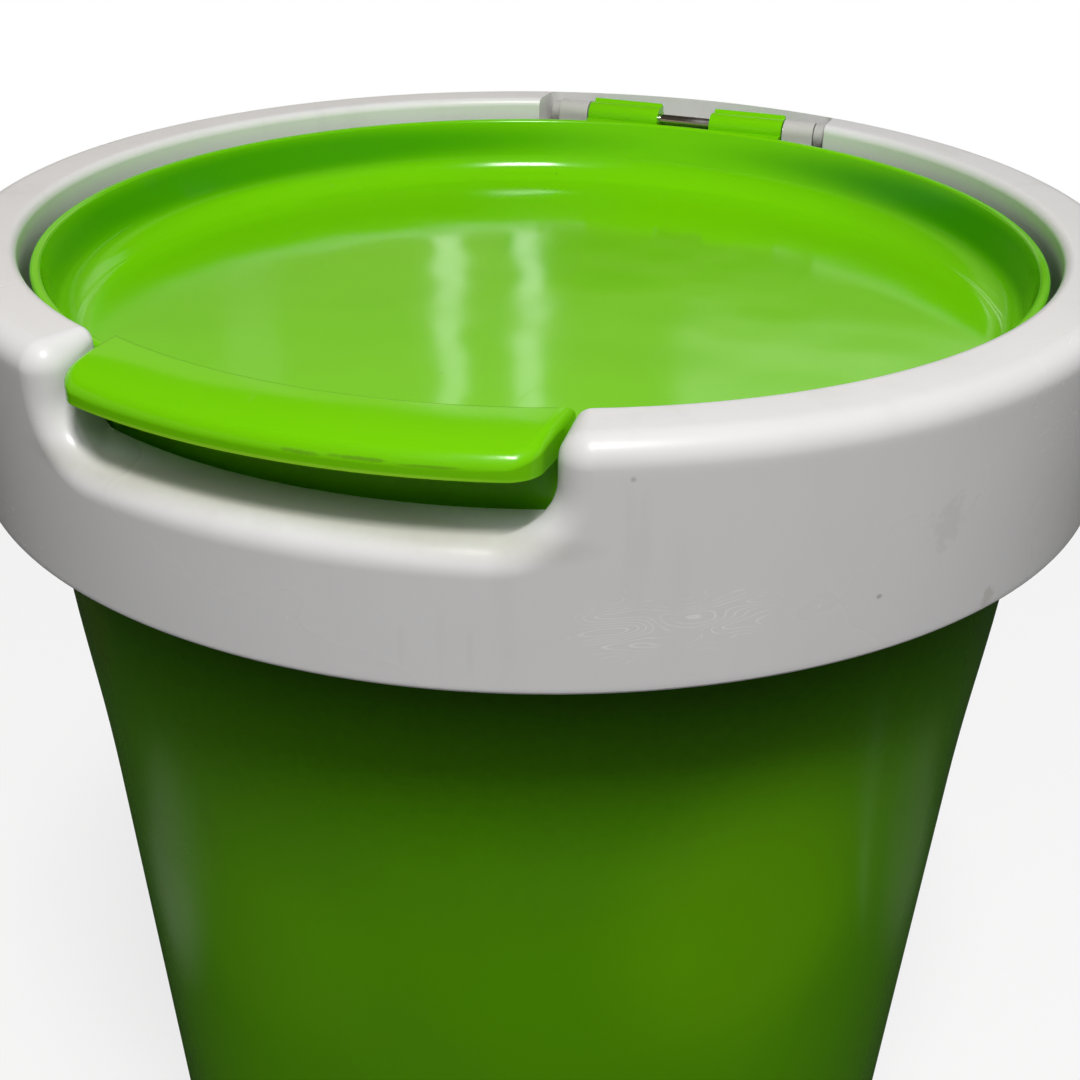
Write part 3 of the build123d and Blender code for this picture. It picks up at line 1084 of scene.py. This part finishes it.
@dataclass
class Collar:
    """The deep collar with its finger notch in front and its hinge recess behind."""

    outer_r: float = 0.150
    flare: float = 0.0015
    bottom_z: float = 0.300
    top_z: float = 0.356
    opening_r: float = 0.134
    wall: float = 0.0025
    seat_z: float = 0.3262
    outer_round: float = 0.006
    outer_steps: int = 9
    inner_round: float = 0.0025
    inner_steps: int = 5
    sill_round: float = 0.0008
    round_growth: float = 1.5
    round_delay: float = 0.3
    land_steps: int = 3
    side_levels: tuple[float, ...] = (0.03, 0.15, 0.3, 0.45, 0.6, 0.75, 0.9, 0.97, 1.0)
    foot_round: float = 0.0009
    foot_steps: int = 3
    notch_half: float = 0.055
    notch_z: float = 0.333
    inner_sill_z: float = 0.3338
    low_round: float = 0.012
    high_round: float = 0.0064
    inner_low_round: float = 0.003
    inner_high_round: float = 0.0035
    recess_half: float = 0.049
    recess_r: float = 0.1469
    recess_z: float = 0.3423
    recess_round: float = 0.003
    recess_room: float = 1.5
    recess_reach: float = 0.8
    recess_steps: int = 24
    recess_corner_steps: int = 5
    sill_steps: int = 16
    corner_steps: int = 10
    side_steps: int = 2
    ring_steps: int = 96

    def outer(self, z: float) -> float:
        """Gives the outer radius at a height."""
        return self.outer_r + self.flare * (z - self.bottom_z) / (self.top_z - self.bottom_z)

    def half_rim(self, sill_z: float, low_round: float, high_round: float) -> list[Station]:
        """Walks the rim from the middle of the notch to the back.

        Args:
            sill_z: Height of the notch's sill.
            low_round: Radius of the notch's lower corner.
            high_round: Radius of its upper corner.

        Returns:
            The stations on the side of +X.
        """
        low_x = self.notch_half - low_round
        low_z = sill_z + low_round
        high_x = self.notch_half + high_round
        high_z = self.top_z - high_round
        stations = []
        for step in range(self.sill_steps):
            stations.append(Station(low_x * step / self.sill_steps, sill_z, 0.0, -1.0))
        for step in range(self.corner_steps):
            turn = math.radians(-90.0 + 90.0 * step / self.corner_steps)
            away = (math.cos(turn), math.sin(turn))
            stations.append(Station(low_x + low_round * away[0], low_z + low_round * away[1], *away))
        for step in range(self.side_steps):
            z = low_z + (high_z - low_z) * step / self.side_steps
            stations.append(Station(self.notch_half, z, 1.0, 0.0))
        for step in range(self.corner_steps):
            turn = math.radians(180.0 - 90.0 * step / self.corner_steps)
            away = (math.cos(turn), math.sin(turn))
            x = high_x + high_round * away[0]
            z = high_z + high_round * away[1]
            stations.append(Station(x, z, -away[0], -away[1]))
        for step in range(self.ring_steps + 1):
            stations.append(Station(high_x, self.top_z, 0.0, -1.0, step / self.ring_steps))
        return stations

    def ball(self, station: Station, radius: float, on_r: float) -> Vector:
        """Places the ball that rounds the rim at a station.

        Args:
            station: The station.
            radius: The ball's radius.
            on_r: Distance of the ball's centre from the collar's axis.

        Returns:
            The ball's centre.
        """
        x = station.x + radius * station.into_x
        bearing = math.asin(x / on_r)
        if station.share is not None:
            bearing += (math.pi - bearing) * station.share
        return polar(on_r, bearing, station.z + radius * station.into_z)

    def arc(self, station: Station, radius: float, outside: bool, steps: int) -> Row:
        """Draws the rounding at a station, from the wall to the rim.

        Args:
            station: The station.
            radius: Radius of the rounding.
            outside: True for the outer wall, False for the inner one.
            steps: Pieces of the arc.

        Returns:
            The points of the arc.
        """
        on_r = self.opening_r + radius
        if outside:
            on_r = self.outer(station.z + radius * station.into_z) - radius
        centre = self.ball(station, radius, on_r)
        to_wall = Vector((centre.x, centre.y, 0.0)).normalized() * (1.0 if outside else -1.0)
        to_rim = Vector((-station.into_x, 0.0, -station.into_z))
        return [centre + to_wall.slerp(to_rim, step / steps) * radius for step in range(steps + 1)]

    def column(self, inside: Station, station: Station, share: float) -> Row:
        """Draws the collar's section at a station.

        Args:
            inside: The station on the inner edge.
            station: The station on the outer edge.
            share: How far round the rim the station is, from 0 in the notch to 1 at the back.

        Returns:
            The closed section, from the foot of the inner wall over the rim to the outer wall and back.
        """
        lift = (inside.z - self.notch_z) / (self.top_z - self.notch_z)
        grown = min(1.0, max(0.0, self.round_growth * lift - self.round_delay))
        inner_round = self.sill_round + (self.inner_round - self.sill_round) * grown
        inner = self.arc(inside, inner_round, False, self.inner_steps)
        outer = self.arc(station, self.outer_round, True, self.outer_steps)
        foot = Vector((inner[0].x, inner[0].y, self.seat_z))
        land = [inner[-1].lerp(outer[-1], step / self.land_steps) for step in range(1, self.land_steps)]
        bearing = math.atan2(outer[0].x, -outer[0].y)
        low_bearing = (bearing + math.pi * share) / 2
        low_z = self.bottom_z + self.foot_round
        side = []
        for level in self.side_levels:
            z = outer[0].z + (low_z - outer[0].z) * level
            side.append(polar(self.outer(z), bearing + (low_bearing - bearing) * level, z))
        base_r = self.outer(self.bottom_z)
        rolled = []
        for step in range(1, self.foot_steps + 1):
            turn = math.radians(90.0 * step / self.foot_steps)
            r = base_r - self.foot_round * (1 - math.cos(turn))
            rolled.append(polar(r, low_bearing, low_z - self.foot_round * math.sin(turn)))
        hidden = [polar(base_r - self.wall, low_bearing, z) for z in (self.bottom_z, self.seat_z)]
        return [foot, *inner, *land, *reversed(outer), *side, *rolled, *hidden, foot]

    def recess(self) -> bmesh.types.BMesh:
        """Makes the tool that cuts the hinge recess.

        Returns:
            The tool.
        """
        shape = bmesh.new()
        swing = math.asin(self.recess_half / self.recess_r)
        arc_swing = swing - self.recess_room * self.recess_round / self.recess_r
        sweep(shape, self.recess_r, math.pi, arc_swing, self.recess_z, self.recess_steps)
        along = sorted(shape.verts, key=lambda vert: -vert.co.x)
        near_y = self.opening_r * self.recess_reach
        right = shape.verts.new(polar(self.recess_r, math.pi - swing, self.recess_z))
        left = shape.verts.new(polar(self.recess_r, math.pi + swing, self.recess_z))
        near_right = shape.verts.new((self.recess_half, near_y, self.recess_z))
        near_left = shape.verts.new((-self.recess_half, near_y, self.recess_z))
        outline = (along[0], right, near_right, near_left, left, along[-1])
        for pair in zip(outline, outline[1:]):
            shape.edges.new(pair)
        for corner in (right, left):
            cut_corner(shape, corner, self.recess_round, self.recess_corner_steps)
        face = bmesh.ops.contextual_create(shape, geom=shape.edges[:])["faces"][0]
        push_face(shape, face, 2 * (self.top_z - self.recess_z), True)
        close(shape)
        return shape

    def build(self) -> bpy.types.Object:
        """Skins the collar and cuts the hinge recess.

        Returns:
            The collar.
        """
        inner = self.half_rim(self.inner_sill_z, self.inner_low_round, self.inner_high_round)
        outer = self.half_rim(self.notch_z, self.low_round, self.high_round)
        last = len(outer) - 1
        columns = [self.column(inner[index], outer[index], index / last) for index in range(last + 1)]
        mirrored = []
        for column in columns[-2:0:-1]:
            mirrored.append([Vector((-point.x, point.y, point.z)) for point in column])
        rows = [list(row) for row in zip(*columns, *mirrored)]
        shell = as_object("collar_shell", skinned(rows))
        work(shell, [self.recess()], Join.CUT)
        return shell

    def dress(self, shell: bpy.types.Object) -> None:
        """Gives the collar its white and its place."""
        dress(shell, COLLAR_WHITE)
        install(shell, Body.COLLAR, "collar_cover")


@dataclass
class Lid:
    """The dished lid with its finger tab in front and its hinge knuckles behind."""

    dish_z: float = 0.332
    dish_r: float = 0.12504
    dish_round: float = 0.009
    dish_steps: int = 10
    lip_z: float = 0.350
    lip_r: float = 0.1316
    lip_inner_r: float = 0.12904
    lip_inner_round: float = 0.001
    lip_round: float = 0.0011
    wall: float = 0.0025
    skirt_z: float = 0.328
    skirt_wall: float = 0.002
    skirt_round: float = 0.0004
    tab_r: float = 0.1495
    tab_back_r: float = 0.1289
    tab_half: float = 0.0529
    tab_top: float = 0.354
    tab_bottom: float = 0.3465
    tab_round: float = 0.0025
    tab_round_steps: int = 8
    tab_flat: float = 0.0035
    tab_corner: float = 0.0075
    tab_corner_room: float = 1.25
    tab_corner_steps: int = 7
    tab_wall: float = 0.0024
    tab_crown: float = 0.0046
    tab_crown_power: float = 2.2
    tab_steps: int = 28
    tab_bands: int = 7
    tab_rows: int = 10
    tab_row: float = 0.0024
    axis_y: float = 0.135
    axis_z: float = 0.3505
    bore_r: float = 0.00205
    bore_wall: float = 0.0008
    barrel_r: float = 0.004
    barrel_steps: int = 36
    knuckle_x: float = 0.009
    knuckle_end: float = 0.0335
    web_play: float = 0.0002
    web_drop: float = 0.0004
    web_bite: float = 0.0012
    heel_r: float = 0.0056
    heel_w: float = 0.0024
    heel_lift: float = 48.0
    heel_play: float = 0.0004
    heel_root: float = 0.0006
    heel_round: float = 0.0004
    heel_steps: int = 2

    def dish(self) -> bmesh.types.BMesh:
        """Turns the dish, its lip and the skirt round it.

        Returns:
            The dish.
        """
        slope = (self.lip_inner_r - self.dish_r) / (self.lip_z - self.dish_z)
        under_z = self.dish_z - self.wall
        skirt_inner = self.lip_r - self.skirt_wall
        outline = [
            Corner(0.0, self.dish_z),
            Corner(self.dish_r, self.dish_z, self.dish_round),
            Corner(self.lip_inner_r, self.lip_z, self.lip_inner_round),
            Corner(self.lip_r, self.lip_z, self.lip_round),
            Corner(self.lip_r, self.skirt_z, self.skirt_round),
            Corner(skirt_inner, self.skirt_z, self.skirt_round),
            Corner(skirt_inner, self.lip_z - self.skirt_wall / slope),
            Corner(self.lip_r - slope * (self.lip_z - under_z), under_z, self.dish_round + self.wall),
            Corner(0.0, under_z),
        ]
        return turned(outline, self.dish_steps)

    def tab(self) -> bmesh.types.BMesh:
        """Makes the finger tab: a curved plate with round edges, hollow below.

        Returns:
            The tab.
        """
        shape = bmesh.new()
        front_swing = math.asin(self.tab_half / self.tab_r)
        arc_swing = front_swing - self.tab_corner_room * self.tab_corner / self.tab_r
        back_swing = math.asin(self.tab_half / self.tab_back_r)
        sweep(shape, self.tab_r, 0.0, arc_swing, self.tab_top, self.tab_steps)
        sweep(shape, self.tab_back_r, 0.0, back_swing, self.tab_top, self.tab_steps)
        middle_r = (self.tab_r + self.tab_back_r) / 2
        along = sorted(shape.verts, key=lambda vert: vert.co.x)
        front = [vert for vert in along if vert.co.xy.length > middle_r]
        back = [vert for vert in along if vert.co.xy.length < middle_r]
        corners = [shape.verts.new(polar(self.tab_r, side * front_swing, self.tab_top)) for side in (-1, 1)]
        for corner, front_end, back_end in zip(corners, (front[0], front[-1]), (back[0], back[-1])):
            shape.edges.new((corner, front_end))
            shape.edges.new((corner, back_end))
            round_corner(shape, corner, self.tab_corner, self.tab_corner_steps)
        face = bmesh.ops.contextual_create(shape, geom=shape.edges[:])["faces"][0]
        push_face(shape, face, self.tab_bottom - self.tab_top, True)
        close(shape)
        round_edges(shape, level_face(shape, self.tab_top).edges[:], self.tab_round, self.tab_round_steps)
        self.hollow(shape)
        self.divide(shape)
        self.crown(shape)
        close(shape)
        return shape

    def divide(self, shape: bmesh.types.BMesh) -> None:
        """Cuts the tab into narrow bands, so that its top can be bent.

        Args:
            shape: The tab.
        """
        for step in range(1 - self.tab_bands, self.tab_bands):
            slice_at(shape, (step * self.tab_half / self.tab_bands, 0.0, 0.0), (1.0, 0.0, 0.0))
        for step in range(1, self.tab_rows):
            slice_at(shape, (0.0, self.tab_row * step - self.tab_r, 0.0), (0.0, 1.0, 0.0))

    def hollow(self, shape: bmesh.types.BMesh) -> None:
        """Hollows the tab from below.

        Args:
            shape: The tab.
        """
        bmesh.ops.inset_region(shape, faces=[level_face(shape, self.tab_bottom)], thickness=self.tab_wall)
        mouth = level_face(shape, self.tab_bottom)
        push_face(shape, mouth, self.tab_top - self.tab_wall - self.tab_bottom, False)
        bmesh.ops.delete(shape, geom=[mouth], context="FACES_ONLY")

    def crown(self, shape: bmesh.types.BMesh) -> None:
        """Rounds the tab's top over towards the front, like a pillow.

        Args:
            shape: The tab.
        """
        flat_r = self.tab_back_r + self.tab_flat
        span = self.tab_r - flat_r
        for vert in shape.verts:
            out = min(1.0, max(0.0, (vert.co.xy.length - flat_r) / span))
            high = (vert.co.z - self.tab_bottom) / (self.tab_top - self.tab_bottom)
            fall = 1.0 - math.sqrt(1.0 - out**self.tab_crown_power)
            vert.co.z -= self.tab_crown * fall * max(0.0, high)

    def middle_x(self, side: int) -> float:
        """Gives the middle of the knuckle on a side, 1 for +X and -1 for the other."""
        return side * (self.knuckle_x + self.knuckle_end) / 2

    def barrel(self, side: int) -> bmesh.types.BMesh:
        """Turns a hinge knuckle's barrel about the pin.

        Args:
            side: 1 for the side of +X, -1 for the other.

        Returns:
            The barrel.
        """
        shape = bmesh.new()
        ring = []
        for x, r in (
            (self.knuckle_x, self.bore_r),
            (self.knuckle_end, self.bore_r),
            (self.knuckle_end, self.barrel_r),
            (self.knuckle_x, self.barrel_r),
        ):
            ring.append(shape.verts.new((side * x, self.axis_y, self.axis_z + r)))
        edges = [shape.edges.new(pair) for pair in zip(ring, ring[1:] + ring[:1])]
        bmesh.ops.spin(
            shape,
            geom=ring + edges,
            cent=(0.0, self.axis_y, self.axis_z),
            axis=(1.0, 0.0, 0.0),
            angle=2 * math.pi,
            steps=self.barrel_steps,
            use_merge=True,
        )
        close(shape)
        return shape

    def web(self, side: int) -> bmesh.types.BMesh:
        """Makes the web that joins a knuckle to the lip.

        Args:
            side: 1 for the side of +X, -1 for the other.

        Returns:
            The web.
        """
        length = self.knuckle_end - self.knuckle_x - self.web_play
        height = self.lip_z - self.tab_bottom - self.web_drop
        middle_z = (self.lip_z + self.tab_bottom) / 2
        shape = block((length, 1.0, height), (self.middle_x(side), 0.0, middle_z))
        in_lip = self.lip_r - self.web_bite
        by_bore = self.axis_y - self.bore_r - self.bore_wall
        for vert in shape.verts:
            vert.co.y = by_bore if vert.co.y > 0 else math.sqrt(in_lip**2 - vert.co.x**2)
        return shape

    def heel(self, side: int) -> bmesh.types.BMesh:
        """Makes the heel that stops the lid when it stands open.

        Args:
            side: 1 for the side of +X, -1 for the other.

        Returns:
            The heel.
        """
        length = self.knuckle_end - self.knuckle_x - self.heel_play
        root_r = self.bore_r + self.heel_root
        shape = block((length, self.heel_r - root_r, self.heel_w), (0.0, (self.heel_r + root_r) / 2, 0.0))
        lift = Matrix.Rotation(math.radians(self.heel_lift), 3, "X")
        bmesh.ops.rotate(shape, cent=CENTRE, matrix=lift, verts=shape.verts[:])
        on_axis = (self.middle_x(side), self.axis_y, self.axis_z)
        bmesh.ops.translate(shape, vec=on_axis, verts=shape.verts[:])
        round_edges(shape, shape.edges[:], self.heel_round, self.heel_steps)
        return shape

    def build(self) -> bpy.types.Object:
        """Makes the lid from its dish, tab and knuckles.

        Returns:
            The lid.
        """
        shell = as_object("lid_shell", self.dish())
        tools = [self.tab()]
        for side in (1, -1):
            tools += [self.barrel(side), self.web(side), self.heel(side)]
        work(shell, tools, Join.ADD)
        return shell

    def dress(self, shell: bpy.types.Object) -> None:
        """Gives the lid its green and its place."""
        dress(shell, LID_GREEN)
        install(shell, Body.LID, "lid")


@dataclass
class Hardware:
    """The small pieces that keep their CAD shape: seat ring, seal, hinge parts, screws and feet."""

    nodes: dict[str, bpy.types.Object]

    def dress(self) -> None:
        """Gives each small piece its finish."""
        finishes = {
            "seat_ring": INNER_WHITE,
            "hinge_block": INNER_WHITE,
            "lid_seal": SEAL_RUBBER,
            "foot_pads": FOOT_RUBBER,
            "collar_screws": SCREW_STEEL,
            "hinge_screws": SCREW_STEEL,
            "hinge_pin": PIN_STEEL,
            "pin_caps": CAP_PLASTIC,
        }
        for name, finish in finishes.items():
            dress(self.nodes[name], finish)
            LOG.info("%s keeps its shape, in %s", name, finish.name)


@dataclass(frozen=True)
class Lamp:
    """A soft lamp by its bearing, its lift and its distance from the lid."""

    name: str
    bearing: float
    lift: float
    distance: float
    width: float
    height: float
    power: float
    mirrored: bool = True


@dataclass
class Studio:
    """The floor, the lamps, the pale surroundings and the camera."""

    floor_r: float = 1.6
    floor_steps: int = 96
    floor_fade: Levels = (1.52, 0.7)
    floor_shown: Colour = (0.95, 0.95, 0.945)
    floor_white: float = 0.75
    floor_mirrored: Colour = (0.03, 0.03, 0.03)
    floor_lit: Colour = (0.25, 0.25, 0.25)
    cards: tuple[Mark, ...] = (
        Mark(Vector((-0.285, -0.07, 0.0)), (0.085, 0.085, 1.0), (0.36, 0.36, 0.33), 1.0, 0.0),
        Mark(Vector((0.26, 0.18, 0.0)), (0.11, 0.09, 1.0), (0.16, 0.16, 0.14), 1.0, 0.0),
        Mark(Vector((0.36, 0.079, 0.0)), (0.12, 0.012, 1.0), (0.5, 0.5, 0.48), 1.0, 0.0),
    )
    sky_lit: float = 0.05
    sky_dark: float = 0.05
    sky_white: float = 0.5
    sky_tint: Colour = (1.0, 0.8, 0.52)
    sky_top: Levels = (0.465, 0.44)
    rise: Levels = (0.2, 0.42)
    rise_share: float = 0.55
    rise_least: float = 0.45
    horizon: Levels = (-0.006, 0.006)
    screen_top: float = 0.312
    screen_edge: Levels = (-0.032, -0.02)
    sensor: float = 36.0
    focal_pixels: float = 1599.554
    photo_pixels: float = 1080.0
    nearest: float = 0.01
    bearing: float = 21.0
    camera_out: float = 0.417418
    camera_z: float = 0.474482
    tilt: float = 27.542
    swing: float = 0.115
    roll: float = 0.745
    aim: Place = (0.0, 0.0, 0.34)
    # Name, bearing, lift, distance, width, height, power, and whether gloss mirrors it.
    lamps: tuple[Lamp, ...] = (
        Lamp("key", 27.0, 61.0, 1.6, 0.32, 0.32, 19.2),
        Lamp("front", 15.0, 45.0, 1.8, 1.0, 0.7, 6.4, False),
        Lamp("fill right", 84.0, 48.0, 1.7, 0.9, 0.9, 2.6, False),
        Lamp("fill left", -62.0, 3.0, 1.8, 1.0, 0.7, 1.6, False),
        Lamp("low right", 70.0, 3.0, 1.8, 1.0, 0.7, 0.9, False),
        Lamp("back right", 162.0, 16.0, 1.8, 1.0, 0.7, 3.0, False),
        Lamp("back left", 222.0, 14.0, 1.8, 1.0, 0.7, 1.8, False),
        Lamp("window", 187.0, 26.0, 3.1, 0.8, 0.6, 1.0),
        Lamp("slit far left", 213.5, 21.0, 2.75, 0.10, 0.4, 0.02),
        Lamp("slit left", 204.95, 22.0, 2.75, 0.05, 0.75, 0.16),
        Lamp("slit right", 201.5, 22.0, 2.75, 0.05, 0.75, 0.18),
    )

    def away(self, sheet: Sheet) -> bpy.types.NodeSocket:
        """Tells rays that show the surroundings from rays that carry their light.

        Args:
            sheet: The nodes of the floor or the world.

        Returns:
            1 for camera, glossy and transmission rays, 0 for others.
        """
        path = sheet.add("ShaderNodeLightPath").outputs
        seen = sheet.math("MAXIMUM", path["Is Camera Ray"], path["Is Glossy Ray"])
        return sheet.math("MAXIMUM", seen, path["Is Transmission Ray"])

    def lay_floor(self) -> None:
        """Lays the pale floor, a disc that fades into the white surroundings."""
        shape = bmesh.new()
        bmesh.ops.create_circle(shape, cap_ends=True, segments=self.floor_steps, radius=self.floor_r)
        floor = as_object("floor", shape)
        material = bpy.data.materials.new("pale floor")
        sheet = sheet_of(material)
        sheet.tree.nodes.clear()
        out = sheet.vector("LENGTH", sheet.on_piece()).outputs["Value"]
        mirrored = sheet.add("ShaderNodeLightPath").outputs["Is Glossy Ray"]
        there = sheet.math("MAXIMUM", sheet.ease(out, self.floor_fade), mirrored)
        dark = painted(sheet, (*self.floor_mirrored, 1.0), self.cards)
        colour = sheet.mix(mirrored, (*self.floor_shown, 1.0), dark)
        shown = sheet.add("ShaderNodeBsdfDiffuse", {"Color": colour}).outputs[0]
        lit = sheet.add("ShaderNodeBsdfDiffuse", {"Color": (*self.floor_lit, 1.0)}).outputs[0]
        glow = sheet.add("ShaderNodeEmission", {"Strength": 1.0}).outputs[0]
        clear = sheet.add("ShaderNodeBsdfTransparent").outputs[0]
        lifted = sheet.math("MULTIPLY", sheet.math("SUBTRACT", 1.0, mirrored), self.floor_white)
        bright = sheet.mix_shaders(lifted, shown, glow)
        both = sheet.mix_shaders(self.away(sheet), lit, bright)
        sheet.add("ShaderNodeOutputMaterial", {"Surface": sheet.mix_shaders(there, clear, both)})
        floor.data.materials.append(material)

    def mirrored_sky(self, sheet: Sheet) -> bpy.types.NodeSocket:
        """Draws the surroundings that gloss mirrors: a pale band, dark above it and low on the right.

        Args:
            sheet: The world's nodes.

        Returns:
            The strength of the white.
        """
        facing = sheet.add("ShaderNodeTexCoord").outputs["Generated"]
        height = sheet.add("ShaderNodeSeparateXYZ", {0: facing}).outputs["Z"]
        turn = math.radians(self.bearing)
        right = (math.cos(turn), math.sin(turn), 0.0)
        across = sheet.vector("DOT_PRODUCT", facing, right).outputs["Value"]
        hidden = sheet.math("MULTIPLY", sheet.ease(across, self.screen_edge), self.screen_top)
        above = sheet.ease(sheet.math("SUBTRACT", height, hidden), self.horizon)
        rising = sheet.math("MULTIPLY_ADD", sheet.ease(height, self.rise), self.rise_share, self.rise_least)
        band = sheet.math("MULTIPLY", sheet.ease(height, self.sky_top), above)
        white = sheet.math("MULTIPLY", band, rising)
        return sheet.math("MULTIPLY_ADD", white, self.sky_white - self.sky_dark, self.sky_dark)

    def fill_sky(self) -> None:
        """Fills the surroundings with white that gives little light of its own."""
        world = bpy.data.worlds.new("surroundings")
        sheet = sheet_of(world)
        sheet.tree.nodes.clear()
        mirrored = sheet.add("ShaderNodeLightPath").outputs["Is Glossy Ray"]
        shown = sheet.mix_values(mirrored, 1.0, self.mirrored_sky(sheet))
        strength = sheet.mix_values(self.away(sheet), self.sky_lit, shown)
        colour = sheet.mix(mirrored, (1.0, 1.0, 1.0, 1.0), (*self.sky_tint, 1.0))
        white = sheet.add("ShaderNodeBackground", {"Color": colour, "Strength": strength})
        sheet.add("ShaderNodeOutputWorld", {"Surface": white.outputs[0]})
        bpy.context.scene.world = world

    def hang_lamps(self) -> None:
        """Hangs the soft lamps, each turned to the lid."""
        target = Vector(self.aim)
        for lamp in self.lamps:
            lift = math.radians(lamp.lift)
            arm = at(lamp.bearing, lamp.distance * math.cos(lift), lamp.distance * math.sin(lift))
            light = bpy.data.lights.new(lamp.name, "AREA")
            light.shape = "RECTANGLE"
            light.size = lamp.width
            light.size_y = lamp.height
            light.energy = lamp.power
            holder = bpy.data.objects.new(lamp.name, light)
            holder.location = target + arm
            holder.rotation_euler = (-arm).to_track_quat("-Z", "Y").to_euler()
            holder.visible_camera = False
            holder.visible_glossy = lamp.mirrored
            bpy.context.scene.collection.objects.link(holder)

    def set_camera(self) -> None:
        """Sets the camera where the photograph was taken from."""
        lens = bpy.data.cameras.new("camera")
        lens.sensor_width = self.sensor
        lens.lens = self.sensor * self.focal_pixels / self.photo_pixels
        lens.clip_start = self.nearest
        camera = bpy.data.objects.new("camera", lens)
        camera.matrix_world = (
            Matrix.Rotation(math.radians(self.bearing), 4, "Z")
            @ Matrix.Translation((0.0, -self.camera_out, self.camera_z))
            @ Matrix.Rotation(math.radians(-self.swing), 4, "Z")
            @ Matrix.Rotation(math.radians(90.0 - self.tilt), 4, "X")
            @ Matrix.Rotation(math.radians(self.roll), 4, "Z")
        )
        bpy.context.scene.collection.objects.link(camera)
        bpy.context.scene.camera = camera

    def build(self) -> None:
        """Sets the studio up."""
        bpy.context.scene.view_settings.view_transform = "Standard"
        self.lay_floor()
        self.fill_sky()
        self.hang_lamps()
        self.set_camera()


def main() -> None:
    """Builds the pail on its frame and sets it in the studio."""
    logging.basicConfig(level=logging.INFO, format="%(name)s: %(message)s")
    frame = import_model()
    for part in (Tub(), Collar(), Lid()):
        part.dress(part.build())
    Hardware(frame["nodes"]).dress()
    Studio().build()


if __name__ == "__main__":
    main()
